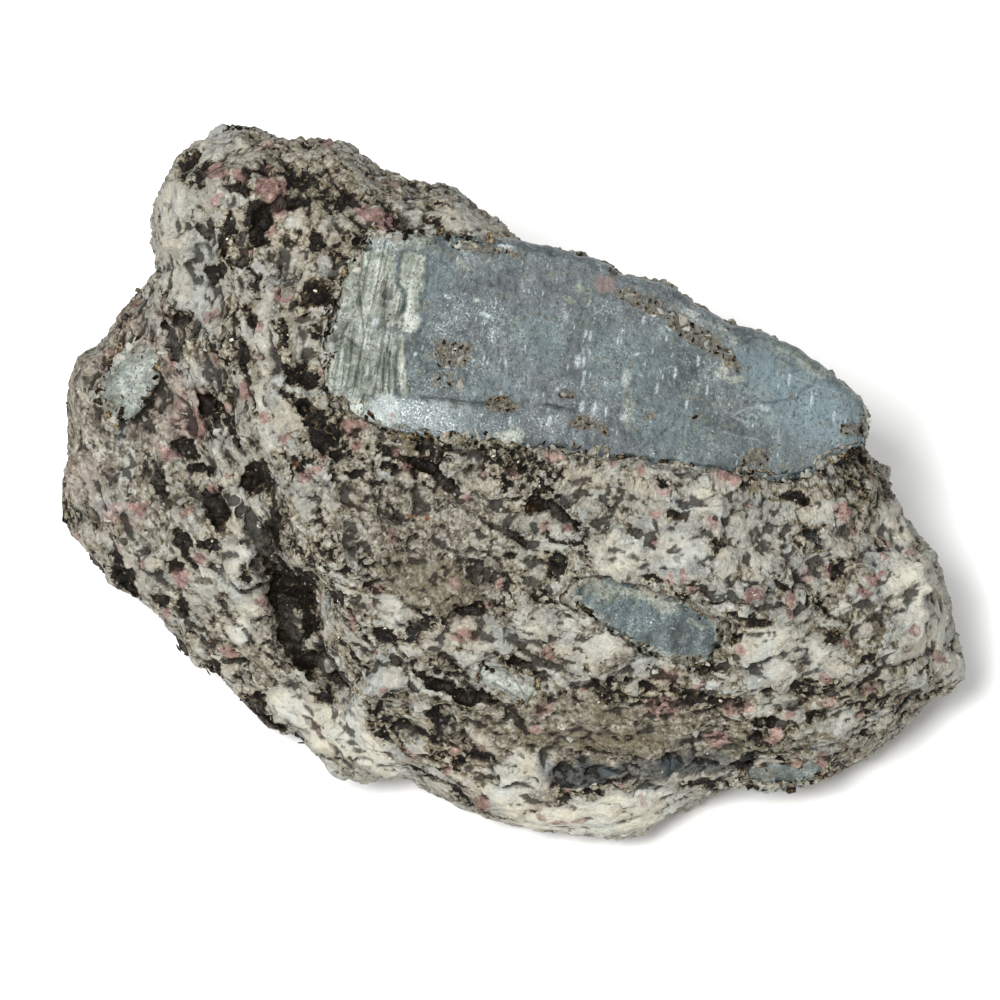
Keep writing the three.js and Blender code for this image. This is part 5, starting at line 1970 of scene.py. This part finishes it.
    def rim(self, spread: float = 0.15, step: float = 0.4) -> tuple[np.ndarray, np.ndarray]:
        """The line round the blade's face, just outside it.

        Args:
            spread: how far outside, in millimetres.
            step: the distance between its points, in millimetres.

        Returns:
            Its points in metres, and the pairs that are joined.
        """
        corners = np.array([*self.outline, self.outline[0]])
        length = np.linalg.norm(np.diff(corners, axis=0), axis=1).sum()
        line = run_along(corners, np.linspace(0, 1, int(length / step)))[:-1]
        run = np.roll(line, -1, axis=0) - np.roll(line, 1, axis=0)
        line += np.column_stack([run[:, 1], -run[:, 0]]) / np.linalg.norm(run, axis=1)[:, None] * spread
        z = self.height(line[:, 0], line[:, 1]) - 0.15
        places = self.write(np.column_stack([line, z]))
        number = np.arange(len(line))
        pairs = np.column_stack([number, np.roll(number, -1)])
        return FACE.place(places), pairs[self.freedom(places)[pairs].max(axis=1) < 0.5]

    def mark(self, mesh: bpy.types.Mesh, own: np.ndarray) -> None:
        """Stores the blade's marks at each of its points.

        Args:
            mesh: the blade's mesh.
            own: its points in the blade's own frame.
        """
        uvw = self.write(own)
        noise = Lattice(self.seed + 60)
        u, v = noise.sway(uvw, reach=0.45, pitch=0.9, apart=30)
        for name in BLADE_MARKS:
            total = np.full(len(own), self.all_over.get(name, 0.0))
            for mark in self.marks.get(name, ()):
                bent = name != "dash" and not isinstance(mark, Line)
                share = mark.share(u, v) if bent else mark.share(uvw[:, 0], uvw[:, 1])
                total = total + share if name == "tone" else np.maximum(total, share)
            if name == "tone":
                total += 0.5
            if name == "pale":
                inside = self.depth_inside(own[:, 0], own[:, 1]) - 1.2 * noise.rough(uvw + 40, 1.6)
                total = np.maximum(total, self.halo * smoothstep(1.0, 0.0, inside))
            if self.fibres and name in ("tone", "gap"):
                _, light, gap = self.fibres.read(own[:, 0], own[:, 1])
                within = self.fibres.zone.share(uvw[:, 0], uvw[:, 1])
                total = total + within * (light - 0.5) if name == "tone" else np.maximum(total, within * gap)
            set_attribute(mesh, name, total)
            if name == "brown":
                stuck = smoothstep(0.45, 0.8, total + 0.3 * noise.rough(uvw + 70, 1.4))
        depth = self.depth_inside(own[:, 0], own[:, 1]) - self.lap - 1.4 * noise.rough(uvw + 90, 2.6)
        lapped = smoothstep(0.3, -0.2, depth) * (1 - self.freedom(uvw))
        set_attribute(mesh, "crumbs", np.maximum(stuck, 0.8 * lapped))
        set_attribute(mesh, "lapped", np.maximum(lapped, 0.5 * stuck))

    @property
    def axes_turn(self) -> tuple[float, float, float]:
        """Works out the turn of a frame whose y runs along the blade's fibres.

        Returns:
            The turn in the model, in radians.
        """
        out = FACE.direction((-self.slope[0], -self.slope[1], 1.0))
        turn = math.radians(self.turn + self.fibre_turn)
        c, s = math.cos(turn), math.sin(turn)
        across = FACE.direction((-s, c, 0.0))
        along = across.cross(out).normalized()
        across = out.cross(along)
        return tuple(Matrix((along, across, out)).transposed().to_euler())

    def build(self) -> None:
        """Builds and dresses the blade, and strews the crumbs of rock that cling to it."""
        mesh = self.mesh()
        finish = KyaniteFinish(f"{self.piece}_cleavage_face", self.axes_turn, **self.tints)
        mesh.materials.append(finish.make())
        piece(mesh, self.piece, self.slot, self.name)
        if self.crumbed:
            Scatter(
                f"biotite_on_{self.piece}", Habit.FLAKE, share="crumbs", spacing=0.4, smallest=0.2,
                largest=0.62, sink=0.0, tilt=0.8, finish=BIOTITE, seed=61,
            ).build(mesh)
            Scatter(
                f"feldspar_on_{self.piece}", Habit.LUMP, share="lapped", spacing=0.8, smallest=0.35,
                largest=1.4, sink=0.15, tilt=0.5, finish=FELDSPAR, seed=71,
            ).build(mesh)


def dashes(*rows: tuple[float, ...]) -> tuple[Oval, ...]:
    """Short pale dashes on a blade, lying along its fibres, many of them painted glints.

    Args:
        *rows: each dash's middle and half sizes, and its turn and strength if they aren't the usual ones.

    Returns:
        The dashes.
    """
    usual = (0.0, 0.0, 0.0, 0.0, 84.0, 0.9)
    return ovals(*(row + usual[len(row) :] for row in rows))


# A thin pale slab left standing on the main blade's face, beside its fibres.
SLAB_SIDES = (
    (-8.4, 21.7), (-7.2, 21.8), (-6.5, 21.3), (-6.5, 19.8), (-6.9, 18.5), (-7.2, 17.2), (-7.1, 16.6),
    (-6.7, 15.4), (-7.6, 14.6), (-8.9, 14.8), (-9.0, 15.6), (-8.2, 16.8), (-8.1, 18), (-8.9, 18.9),
    (-8.9, 19.4),
)
SLAB = Area(SLAB_SIDES, 0.85, 0.35)
SLAB_LIGHT = Area(SLAB_SIDES, 0.2, 0.3)

MAIN = KyaniteBlade(
    name="kyanite_blade_main", at=(8, 12.5, 7.7), turn=-11, slope=(-0.2, -0.14), thickness=5,
    low=(
        (-22.2, -7.4), (-20.2, -8.6), (-15.8, -9.5), (-11.5, -9.2), (-4.4, -8.8), (2.1, -8.3), (10.7, -7.7),
        (14.6, -7.3), (17.8, -7.6), (20, -6.7), (22.5, -4.6), (24.7, -2.8),
    ),
    right=((24.7, -2.8), (24.9, -0.9), (24, 0.8)),
    high=(
        (-21, 7), (-15.8, 7.7), (-8.6, 8.7), (-4.7, 8.5), (-0.2, 8.2), (1.1, 7.5), (5.2, 7.4), (8.5, 6),
        (11.6, 4.9), (14.3, 5), (17.6, 4), (20.5, 2.7), (24, 0.8),
    ),
    left=((-22.2, -7.4), (-23, -3.5), (-22.3, 3.4), (-21, 7)),
    cells=(140, 500), crowding=0.45, seed=5, piece="main_kyanite_blade",
    free_rim=Area(
        (
            (-1, 21.6), (-1, 25), (36, 18), (37, 8), (33.4, 4.6), (32, 8), (28.6, 9.6), (24, 13), (19, 15.6),
            (10, 19),
        ),
        edge=0.4,
    ),
    fibres=Fibres(
        Area(
            (
                (-16, 8), (-9.3, 9.2), (-8.95, 10), (-9.1, 14.5), (-9.3, 15.6), (-8.4, 16.9), (-8.3, 18),
                (-9.1, 19.2), (-8.6, 21.6), (-9.2, 22.6), (-11.8, 22.8), (-12.2, 20), (-12.4, 16.4),
                (-14, 14.4), (-16.4, 13),
            ),
            edge=0.3,
        ),
    ),
    terraces=(
        Terrace(
            Area(
                (
                    (-17.5, 5), (-9, 6), (-8.9, 14.6), (-8.4, 16.9), (-8.3, 18), (-9.1, 19.2), (-8.6, 22),
                    (-12, 26), (-18, 26),
                ),
                edge=0.3,
            ),
            -0.35,
        ),
        Terrace(SLAB, 0.2), *creases((((-8.6, 14.2), (-8.7, 12.5), (-8.5, 10.8), (-8.3, 9.4)), 0.5, 0.15)),
        Terrace(Oval(-13.6, 11.6, 1.6, 2.0, -10), 0.5), Terrace(Oval(-12.9, 18.8, 1.1, 2.4, -12), 0.35),
        Terrace(
            Area(
                (
                    (-16, 4), (-6, 3), (5, 3), (7.6, 7.6), (5.6, 8), (2, 8.6), (-2, 8.5), (-6.5, 9),
                    (-11, 9.2), (-16, 8),
                ),
                edge=0.3,
            ),
            -0.3,
        ),
        Terrace(Area(((19.5, 13), (21, 9.6), (22.8, 8.6), (26, 8.9), (29, 12), (24, 15)), edge=0.25), 0.3),
    ),
    marks={
        "pale": (
            Area(
                (
                    (-14.4, 16.2), (-14.1, 19), (-13.4, 20.8), (-12, 22), (-9.2, 22), (-9.2, 19),
                    (-8.4, 17.6), (-9.4, 15), (-12, 15.4),
                ),
                0.95, 0.4,
            ),
            Area(((-16.4, 6), (-9, 6.4), (-8.9, 14.6), (-12, 16), (-14.6, 16), (-16, 12)), 0.75, 0.6), SLAB,
            Line(((-8.6, 14.2), (-8.7, 12.5), (-8.5, 10.8), (-8.3, 9.4)), 0.5, 1.0),
            Area(
                ((-12.4, 24.6), (-8, 24.2), (-5.8, 23.6), (-6.4, 22.2), (-8.2, 22.0), (-12.4, 21.6)), 0.65,
                0.4,
            ),
            *ovals((-3.2, 20.7, 0.9, 0.6, -8, 0.5), (-1.4, 21.2, 1.2, 0.5, -12, 0.4)),
            Line(((11.1, 11.2), (11.2, 9), (11.4, 6.4)), 0.7, 0.6),
            *ovals(
                (0.6, 5.4, 1.8, 0.9, 10, 0.9), (19.6, 11.6, 0.5, 1.3, -20, 0.8),
                (20.6, 10.6, 1.3, 0.4, -5, 0.8), (18, 15.4, 4.4, 0.8, -32, 0.4),
                (26.5, 12.2, 3.6, 0.7, -28, 0.5), (7.2, 18.4, 1.0, 0.5, -20, 0.6),
                (6.1, 17.6, 0.5, 0.32, -30, 1.0), (7.8, 17.2, 0.35, 0.2, 40, 0.9),
                (-2.1, 17.5, 0.35, 0.25, 0, 0.9),
            ),
        ),
        "tone": (
            SLAB_LIGHT,
            *ovals(
                (-13.7, 16.7, 0.5, 0.4, 0, -0.5), (-12.2, 17.6, 0.35, 0.9, -10, -0.5),
                (-12.7, 14.9, 1.6, 0.8, 0, -0.2),
            ),
            Area(((-10.5, 13), (-9.2, 13), (-9.1, 9.4), (-10.9, 9.4)), -0.55, 0.3),
            Oval(-13.0, 8.6, 1.0, 1.2, 0, 0.5), Line(((-11.3, 15), (-10.9, 18), (-10.5, 21)), 0.5, 0.5),
            *ovals(
                (-8.6, 12.4, 0.3, 1.2, 0, 0.6), (-8, 17, 0.3, 1.6, -8, 0.5), (-5.4, 19.8, 1.2, 1.6, 0, -0.3),
                (3.4, 14, 1.2, 2.0, 0, -0.1), (-6.6, 7.2, 5.0, 1.6, 0, 0.9), (-4, 11.4, 2.6, 2.0, 0, -0.12),
                (11, 6, 3, 1.2, 0, -0.2), (26, 8.4, 5, 3, -20, 0.3), (14, 11, 5, 3.4, -20, -0.2),
                (20, 7.4, 3, 2, 0, -0.25),
            ),
        ),
        # Where the painted sparkle of pale specks and glints is thickest.
        "flash": (
            Area(((-11.6, 5.4), (-4, 5.4), (-3.2, 7.6), (-8, 9.2), (-11, 8.8)), 1.2, 0.5),
            *ovals(
                (-2.6, 15.6, 3.4, 3.0, 0, 0.5), (-4.4, 11, 3.4, 3.2, 0, 0.5), (1, 6.6, 6, 1.4, 0, 0.5),
                (8.6, 8.6, 4, 2.6, 0, 0.3), (-10.4, 22.6, 1.9, 1.2, -8, 1.0), (9.4, 16.4, 1.6, 1.0, 0, 0.5),
                (14, 13, 5, 3.6, -20, 0.2),
            ),
        ),
        # Pale dashes, many of them painted glints.
        "dash": (
            *lines(
                (((20.4, 7.4), (21.6, 8), (23, 8.3)), 0.14, 0.35), (((22.6, 8.2), (23.6, 7.95)), 0.26, 0.5),
                (((20.4, 7.3), (21, 7.1), (21.7, 6.8), (22.6, 6.7)), 0.12, 0.35),
                (((19.6, 6), (21.2, 5.5), (22.4, 5.4), (23.2, 4.9)), 0.12, 0.3),
                (((24.4, 4.9), (24.5, 6.2), (24.8, 7.6)), 0.12, 0.25),
                (((25.4, 11), (28, 10), (30, 9.4)), 0.1, 0.25),
            ),
            Area(
                ((-11.4, 8.8), (-9.6, 9.2), (-8.6, 8.6), (-8.9, 7.6), (-10.4, 6.9), (-11.6, 7.4)), 0.65, 0.4,
            ),
            *dashes(
                (6.8, 12.2, 0.6, 0.27), (7.35, 12.1, 0.5, 0.14), (7.5, 14.6, 0.4, 0.14),
                (7.9, 14.4, 0.5, 0.15), (7.4, 11.1, 0.3, 0.15), (7.3, 10.4, 0.35, 0.14), (7.9, 11, 0.3, 0.1),
                (-0.7, 14.4, 0.35, 0.13), (0.5, 12, 0.4, 0.1), (-1.4, 12.5, 0.3, 0.1),
                (-1.1, 12.1, 0.35, 0.1), (5, 9.7, 0.3, 0.1), (10.35, 14, 0.35, 0.1), (10.65, 14, 0.3, 0.1),
                (4.3, 7, 0.5, 0.2, 70), (0.9, 7, 0.4, 0.14), (8.3, 8, 0.6, 0.2),
                (7.2, 8.2, 0.55, 0.25, 84, 0.7), (9.3, 7.8, 0.4, 0.14), (12, 12.8, 0.3, 0.12, 10),
                (11.1, 10.6, 0.8, 0.4, 84, 0.5), (-1.2, 16.2, 0.7, 0.2, -25), (-4.6, 17.8, 0.35, 0.16, -20),
                (-2.1, 17.5, 0.3, 0.16, 0), (0.5, 22.2, 0.7, 0.22, -8, 1.3), (13.8, 9.8, 0.5, 0.12),
                (15.4, 11.2, 0.6, 0.12), (16.4, 8.4, 0.5, 0.12), (18.2, 9.6, 0.6, 0.12),
                (14.6, 14.2, 0.4, 0.1), (17.4, 12.2, 0.5, 0.12), (12.6, 15.8, 0.4, 0.12),
                (25.4, 10.6, 0.6, 0.14), (27.4, 8.8, 0.7, 0.14), (29.4, 7.4, 0.5, 0.12),
                (-7.4, 12.8, 0.2, 0.18), (-10.9, 15.6, 0.5, 0.24, 70, 1.2), (-12.2, 15.3, 0.8, 0.12, 80),
                (-13.2, 8.6, 0.35, 0.14, 60, 1.2), (-12.2, 8.2, 0.4, 0.14, 70, 1.2),
                (-5.8, 10.6, 0.25, 0.12, 30),
            ),
        ),
        "brown": (
            *ovals(
                (-4.2, 12.8, 2.0, 1.4, -10, 0.85), (-4.8, 10.6, 1.8, 1.0, 0, 0.65),
                (0.3, 8.3, 1.8, 0.8, -10, 1.0), (-6.2, 17.2, 0.6, 0.5, 0, 0.6),
                (-9.6, 16.6, 0.6, 1.8, -8, 0.5), (-10.2, 18.9, 0.5, 0.5, 0, 0.6),
                (17.4, 14.4, 3.6, 1.0, -34, 0.8), (20.4, 12.2, 1.2, 0.8, -60, 0.8),
                (12.4, 17.4, 2.8, 0.9, -24, 0.75), (15.0, 16.4, 2.0, 0.7, -30, 0.7),
                (7.4, 6.7, 1.3, 0.8, 0, 0.9), (8.9, 6.3, 0.9, 0.5, -20, 0.9), (5.8, 9.2, 0.7, 0.6, 0, 0.8),
                (13.2, 7.4, 0.9, 0.4, 28, 0.8), (17.3, 7.2, 0.8, 0.5, 0, 0.6),
                (-0.8, 22.0, 3.2, 0.5, -8, 0.8), (6.9, 16.9, 2.2, 0.9, -20, 0.42),
                (-7.6, 4.8, 3.4, 0.7, -8, 0.7), (22.6, 3.6, 1.6, 1.0, 0, 0.8), (31, 6.2, 1.4, 0.9, 0, 0.8),
            ),
            Line(((2.1, 15.8), (3.2, 16.3), (4.8, 15.6)), 0.35, 0.6),
            *ovals((3.4, 20.6, 2.4, 0.5, 10, 0.3), (9.9, 20, 0.5, 0.5, 0, 0.8)),
        ),
        # Cracks, holes and fibre gaps, sunk in the face and darkened, partly with their own dark colour and
        # partly with painted shade; the line under the slab's lower edge is a painted shadow.
        "gap": (
            *lines(
                (((-6.8, 8.9), (-4.5, 8.8), (-2.4, 8.4), (-1.2, 8.45)), 0.2, 0.6),
                (((4.1, 8.4), (5, 8.1), (5.6, 8)), 0.18, 0.8),
                (((0.4, 8.9), (2.4, 9.7), (4.4, 10)), 0.12, 0.25),
                (((3.8, 9.6), (5.2, 10), (6.6, 9.4)), 0.12, 0.35),
                (((-9.1, 15.4), (-9.05, 14.7), (-8.4, 14.4), (-7.4, 14.3), (-6.8, 14.8)), 0.14, 0.3),
            ),
            *ovals(
                (-9.8, 18.1, 0.5, 0.5, 0, 0.8), (-11.6, 22.2, 0.4, 0.4, 0, 1.0),
                (-9.9, 17.2, 0.4, 0.3, 0, 0.5),
            ),
            *lines(
                (((-14.6, 13.8), (-13.6, 14.3), (-12.6, 13.6)), 0.14, 0.6),
                (((-11.9, 14.6), (-12.3, 19), (-11.9, 21.6)), 0.14, 0.4),
                (((-9.2, 9.2), (-9.15, 12.6)), 0.14, 0.7), (((-9.7, 9.4), (-9.6, 13)), 0.1, 0.6),
                (((-10.2, 9.4), (-10.1, 12.8)), 0.1, 0.6), (((-1.6, 9.9), (-3, 10.2)), 0.1, 0.3),
            ),
            Oval(9.9, 20, 0.35, 0.35, 0, 0.7), Line(((12.6, 4.6), (14.8, 6.2), (16, 7.6)), 0.12, 0.3),
        ),
        "rosy": ovals((9.2, 18.9, 1.1, 0.7, -20, 0.6), (-9.5, 7.3, 0.35, 0.3, 0, 0.8)),
        "azure": (
            Area(
                ((20.6, 13), (24, 12.8), (28.5, 10.4), (32.4, 6.6), (30.5, 5), (26, 5), (23.4, 8)), 0.85, 1.8,
            ),
            *ovals(
                (3.6, 14, 2.4, 3, 0, 0.35), (-5.6, 19.4, 1.4, 2.4, 0, 0.35), (14.5, 6.6, 3.4, 2.4, 0, 0.35),
                (-0.2, 9.6, 2.6, 1.4, 0, 0.3), (-13.4, 11, 1.6, 1.8, 0, 0.3), (11, 12, 4, 3.4, 0, 0.3),
            ),
        ),
    },
)
LOWER = KyaniteBlade(
    name="kyanite_blade_lower", at=(12.7, -10.3, 8), turn=-21, slope=(-0.2, 0.06), thickness=3.2,
    low=((-7.2, -0.9), (-3.4, -2), (1, -2.9), (5, -2.9), (6.8, -1.4)),
    right=((6.8, -1.4), (7.4, 0.8), (7.2, 2.1)),
    high=((-6.6, 1.2), (-4.2, 2.3), (-0.6, 2.6), (3.4, 2.4), (7.2, 2.1)),
    left=((-7.2, -0.9), (-7.1, 0), (-6.6, 1.2)), cells=(40, 130), seed=6, piece="lower_kyanite_blade",
    halo=0.9, lap=0.2, fibre_turn=90, tints={"slate": ("#252e2f", "#3c484a", "#526162", "#6f7e7d")},
    marks={
        "pale": ovals(
            (14.2, -9.3, 1.5, 0.5, -20, 1.0), (8.4, -7.6, 2.2, 0.9, -30, 1.0),
            (11.6, -8.2, 1.6, 0.5, -20, 0.9), (17.4, -11, 1.4, 0.3, -20, 0.7),
        ),
        "flash": (Oval(12, -9.6, 4, 1.4, -21, 0.4),),
        "tone": ovals((16.6, -12.4, 2.6, 1.4, -21, -0.35), (10, -9, 2.6, 1.2, -21, -0.2)),
        "brown": ovals(
            (7, -9.4, 1.8, 0.5, -35, 0.9), (17, -14.2, 2.4, 0.7, -5, 0.9), (19.6, -11.4, 0.6, 1.2, 0, 0.9),
            (12.8, -8.0, 0.9, 0.3, -20, 0.8),
        ),
        "azure": (Oval(10.5, -9, 3, 1.4, -25, 0.3),),
    },
)
PRISM = KyaniteBlade(
    name="kyanite_prism_pale", at=(1.1, -16.4, 7.9), turn=-27, slope=(-0.25, 0.2), thickness=2.2,
    low=((-3, -0.6), (-1.4, -1.05), (2, -1.05)), right=((2, -1.05), (2, 1.05)),
    high=((-2.9, 0.5), (-1.4, 1.05), (2, 1.05)), left=((-3, -0.6), (-2.9, 0.5)), cells=(26, 56), seed=7,
    top=0.3, crumbed=False, slot="kyanite_pale", piece="pale_kyanite_prism",
    terraces=(
        Terrace(Area(((-0.6, -14.8), (1.6, -16.8), (2.8, -17.4), (3.2, -16.4), (0.6, -15)), edge=0.08), 0.3),
    ),
    marks={"gap": lines((((-0.6, -16), (2.0, -17.6)), 0.1, 0.5), (((1.5, -16), (2.3, -17.4)), 0.08, 0.5))},
    all_over={"pale": 1.0, "flash": 0.3, "tone": 0.35},
)
LOBE = KyaniteBlade(
    name="kyanite_blade_lobe", at=(-32.6, 10.6, 1.9), turn=58, slope=(0.35, -0.3), thickness=3.6,
    low=((-3.6, -0.8), (-2, -1.9), (1.6, -1.8), (3.4, -0.6)), right=((3.4, -0.6), (3.3, 1)),
    high=((-2.6, 1.6), (1.2, 2), (3.3, 1)), left=((-3.6, -0.8), (-2.6, 1.6)), cells=(36, 64), seed=8, top=0.2,
    lap=0, halo=0.7, slot="kyanite_pale", piece="lobe_kyanite_blade",
    marks={"brown": ovals((-32, 13, 1.6, 0.9, 40, 0.6), (-34, 8.4, 1.4, 0.8, 40, 0.6))},
    all_over={"pale": 0.65, "flash": 0.1, "tone": 0.15},
)
EDGE = KyaniteBlade(
    name="kyanite_blade_edge", at=(25.2, -24.2, -2.6), turn=4, slope=(-0.15, 0.9), thickness=3,
    low=((-3.4, -0.3), (-1.6, -1), (1.8, -0.9), (3.4, 0.1)), right=((3.4, 0.1), (2.4, 1.1)),
    high=((-3, 0.9), (-1.2, 1.3), (2.4, 1.1)), left=((-3.4, -0.3), (-3, 0.9)), cells=(26, 60), seed=9,
    slot="kyanite_pale", piece="edge_kyanite_blade",
    marks={"brown": ovals((23.2, -24.2, 1.2, 0.8, 0, 0.6), (27, -23.6, 1.2, 0.6, 0, 0.6))},
    all_over={"pale": 0.4, "flash": 0.1},
)
BLADES = (MAIN, LOWER, PRISM, LOBE, EDGE)


def rim_lines(blades: Sequence[KyaniteBlade]) -> bpy.types.Mesh:
    """Gathers the rims of several blades.

    Args:
        blades: the blades.

    Returns:
        One mesh of lines.
    """
    points, pairs, count = [], [], 0
    for blade in blades:
        line, joined = blade.rim()
        points.append(line)
        pairs.append(joined + count)
        count += len(line)
    mesh = bpy.data.meshes.new("rims")
    mesh.from_pydata(np.concatenate(points).tolist(), np.concatenate(pairs).tolist(), [])
    return mesh


# ---- The studio ----


@dataclass
class Studio:
    """A pale floor, soft light all round and the camera that looks at the show face."""

    lens: float = 500.0
    sensor: float = 36.0
    field_of_view: float = 88.0
    aim: tuple[float, float, float] = (0.0, 0.0, 4.0)
    sky: float = 0.68
    key_at: tuple[float, float, float] = (-0.22, -0.34, 0.85)
    key_size: float = 0.3
    key_power: float = 11.0
    paper: str = "#f7f7f6"
    paper_roughness: float = 0.9
    floor: float = 6.0

    def camera(self) -> None:
        """Stands the camera straight off the show face, far enough for a flat view."""
        data = bpy.data.cameras.new("camera")
        data.lens = self.lens
        data.sensor_width = self.sensor
        data.clip_start = 0.05
        data.clip_end = 10
        thing = bpy.data.objects.new("camera", data)
        bpy.context.scene.collection.objects.link(thing)
        right, up, out = (Vector(axis) for axis in FACE.axes)
        distance = self.field_of_view * MM * self.lens / self.sensor
        target = Vector(FACE.place(np.array([self.aim]))[0])
        facing = Matrix((right, up, out)).transposed().to_4x4()
        thing.matrix_world = Matrix.Translation(target + out * distance) @ facing
        bpy.context.scene.camera = thing

    def lamp(self, name: str, at: tuple[float, float, float], size: float, power: float) -> None:
        """Hangs a square lamp that faces the specimen.

        Args:
            name: its name.
            at: its place, in metres.
            size: how wide it is, in metres.
            power: how strong it is, in watts.
        """
        data = bpy.data.lights.new(name, "AREA")
        data.size = size
        data.energy = power
        thing = bpy.data.objects.new(name, data)
        bpy.context.scene.collection.objects.link(thing)
        thing.location = at
        thing.rotation_euler = (Vector((0, 0, 0.02)) - Vector(at)).to_track_quat("-Z", "Y").to_euler()

    def build(self) -> None:
        """Lays the floor, lights it and stands the camera."""
        scene = bpy.context.scene
        scene.view_settings.view_transform = "Standard"
        world = bpy.data.worlds.new("studio")
        world.use_nodes = True
        background = world.node_tree.nodes["Background"]
        background.inputs["Color"].default_value = linear("#ffffff")
        background.inputs["Strength"].default_value = self.sky
        scene.world = world
        self.lamp("key", self.key_at, self.key_size, self.key_power)
        side = self.floor / 2
        corners = np.array([(-side, -side, 0), (side, -side, 0), (side, side, 0), (-side, side, 0)])
        mesh = make_mesh("floor", corners, [(0, 1, 2, 3)])
        material, tree, output = blank_material("white_studio_paper")
        shader = wire(tree, PRINCIPLED, (linear(self.paper), self.paper_roughness))
        tree.links.new(shader, output.inputs["Surface"])
        mesh.materials.append(material)
        floor = stand_in(mesh)
        floor.location.z = CAD_BOX[0][2] - 0.0001
        self.camera()


def main() -> None:
    """Builds the specimen and the studio."""
    logging.basicConfig(level=logging.INFO, format="%(name)s %(message)s")
    rock = GneissRock().build(BLADES)
    scatters = (
        Scatter(
            "feldspar_grains", Habit.LUMP, share="pale_share", spacing=1.5, smallest=0.5, largest=1.3,
            sink=0.22, tilt=0.35, finish=FELDSPAR, seed=21,
        ),
        Scatter(
            "biotite_flakes", Habit.FLAKE, share="dark_share", spacing=0.66, smallest=0.4, largest=0.9,
            sink=0.25, tilt=0.35, finish=BIOTITE, seed=31,
        ),
    )
    for scatter in scatters:
        scatter.build(rock)
    bpy.data.meshes.remove(rock)
    rims = rim_lines(BLADES)
    rim_scatters = (
        RimScatter(
            "rim_feldspar_grains", Habit.LUMP, share="", spacing=3.2, smallest=0.4, largest=1.0, sink=0.3,
            tilt=0.6, finish=FELDSPAR, seed=41, wander=0.5,
        ),
        RimScatter(
            "rim_biotite_flakes", Habit.FLAKE, share="", spacing=1.1, smallest=0.5, largest=1.3, sink=0.2,
            tilt=0.8, finish=BIOTITE, seed=51, wander=0.45,
        ),
    )
    for scatter in rim_scatters:
        scatter.build(rims)
    bpy.data.meshes.remove(rims)
    for blade in BLADES:
        blade.build()
    Studio().build()


if __name__ == "__main__":
    main()
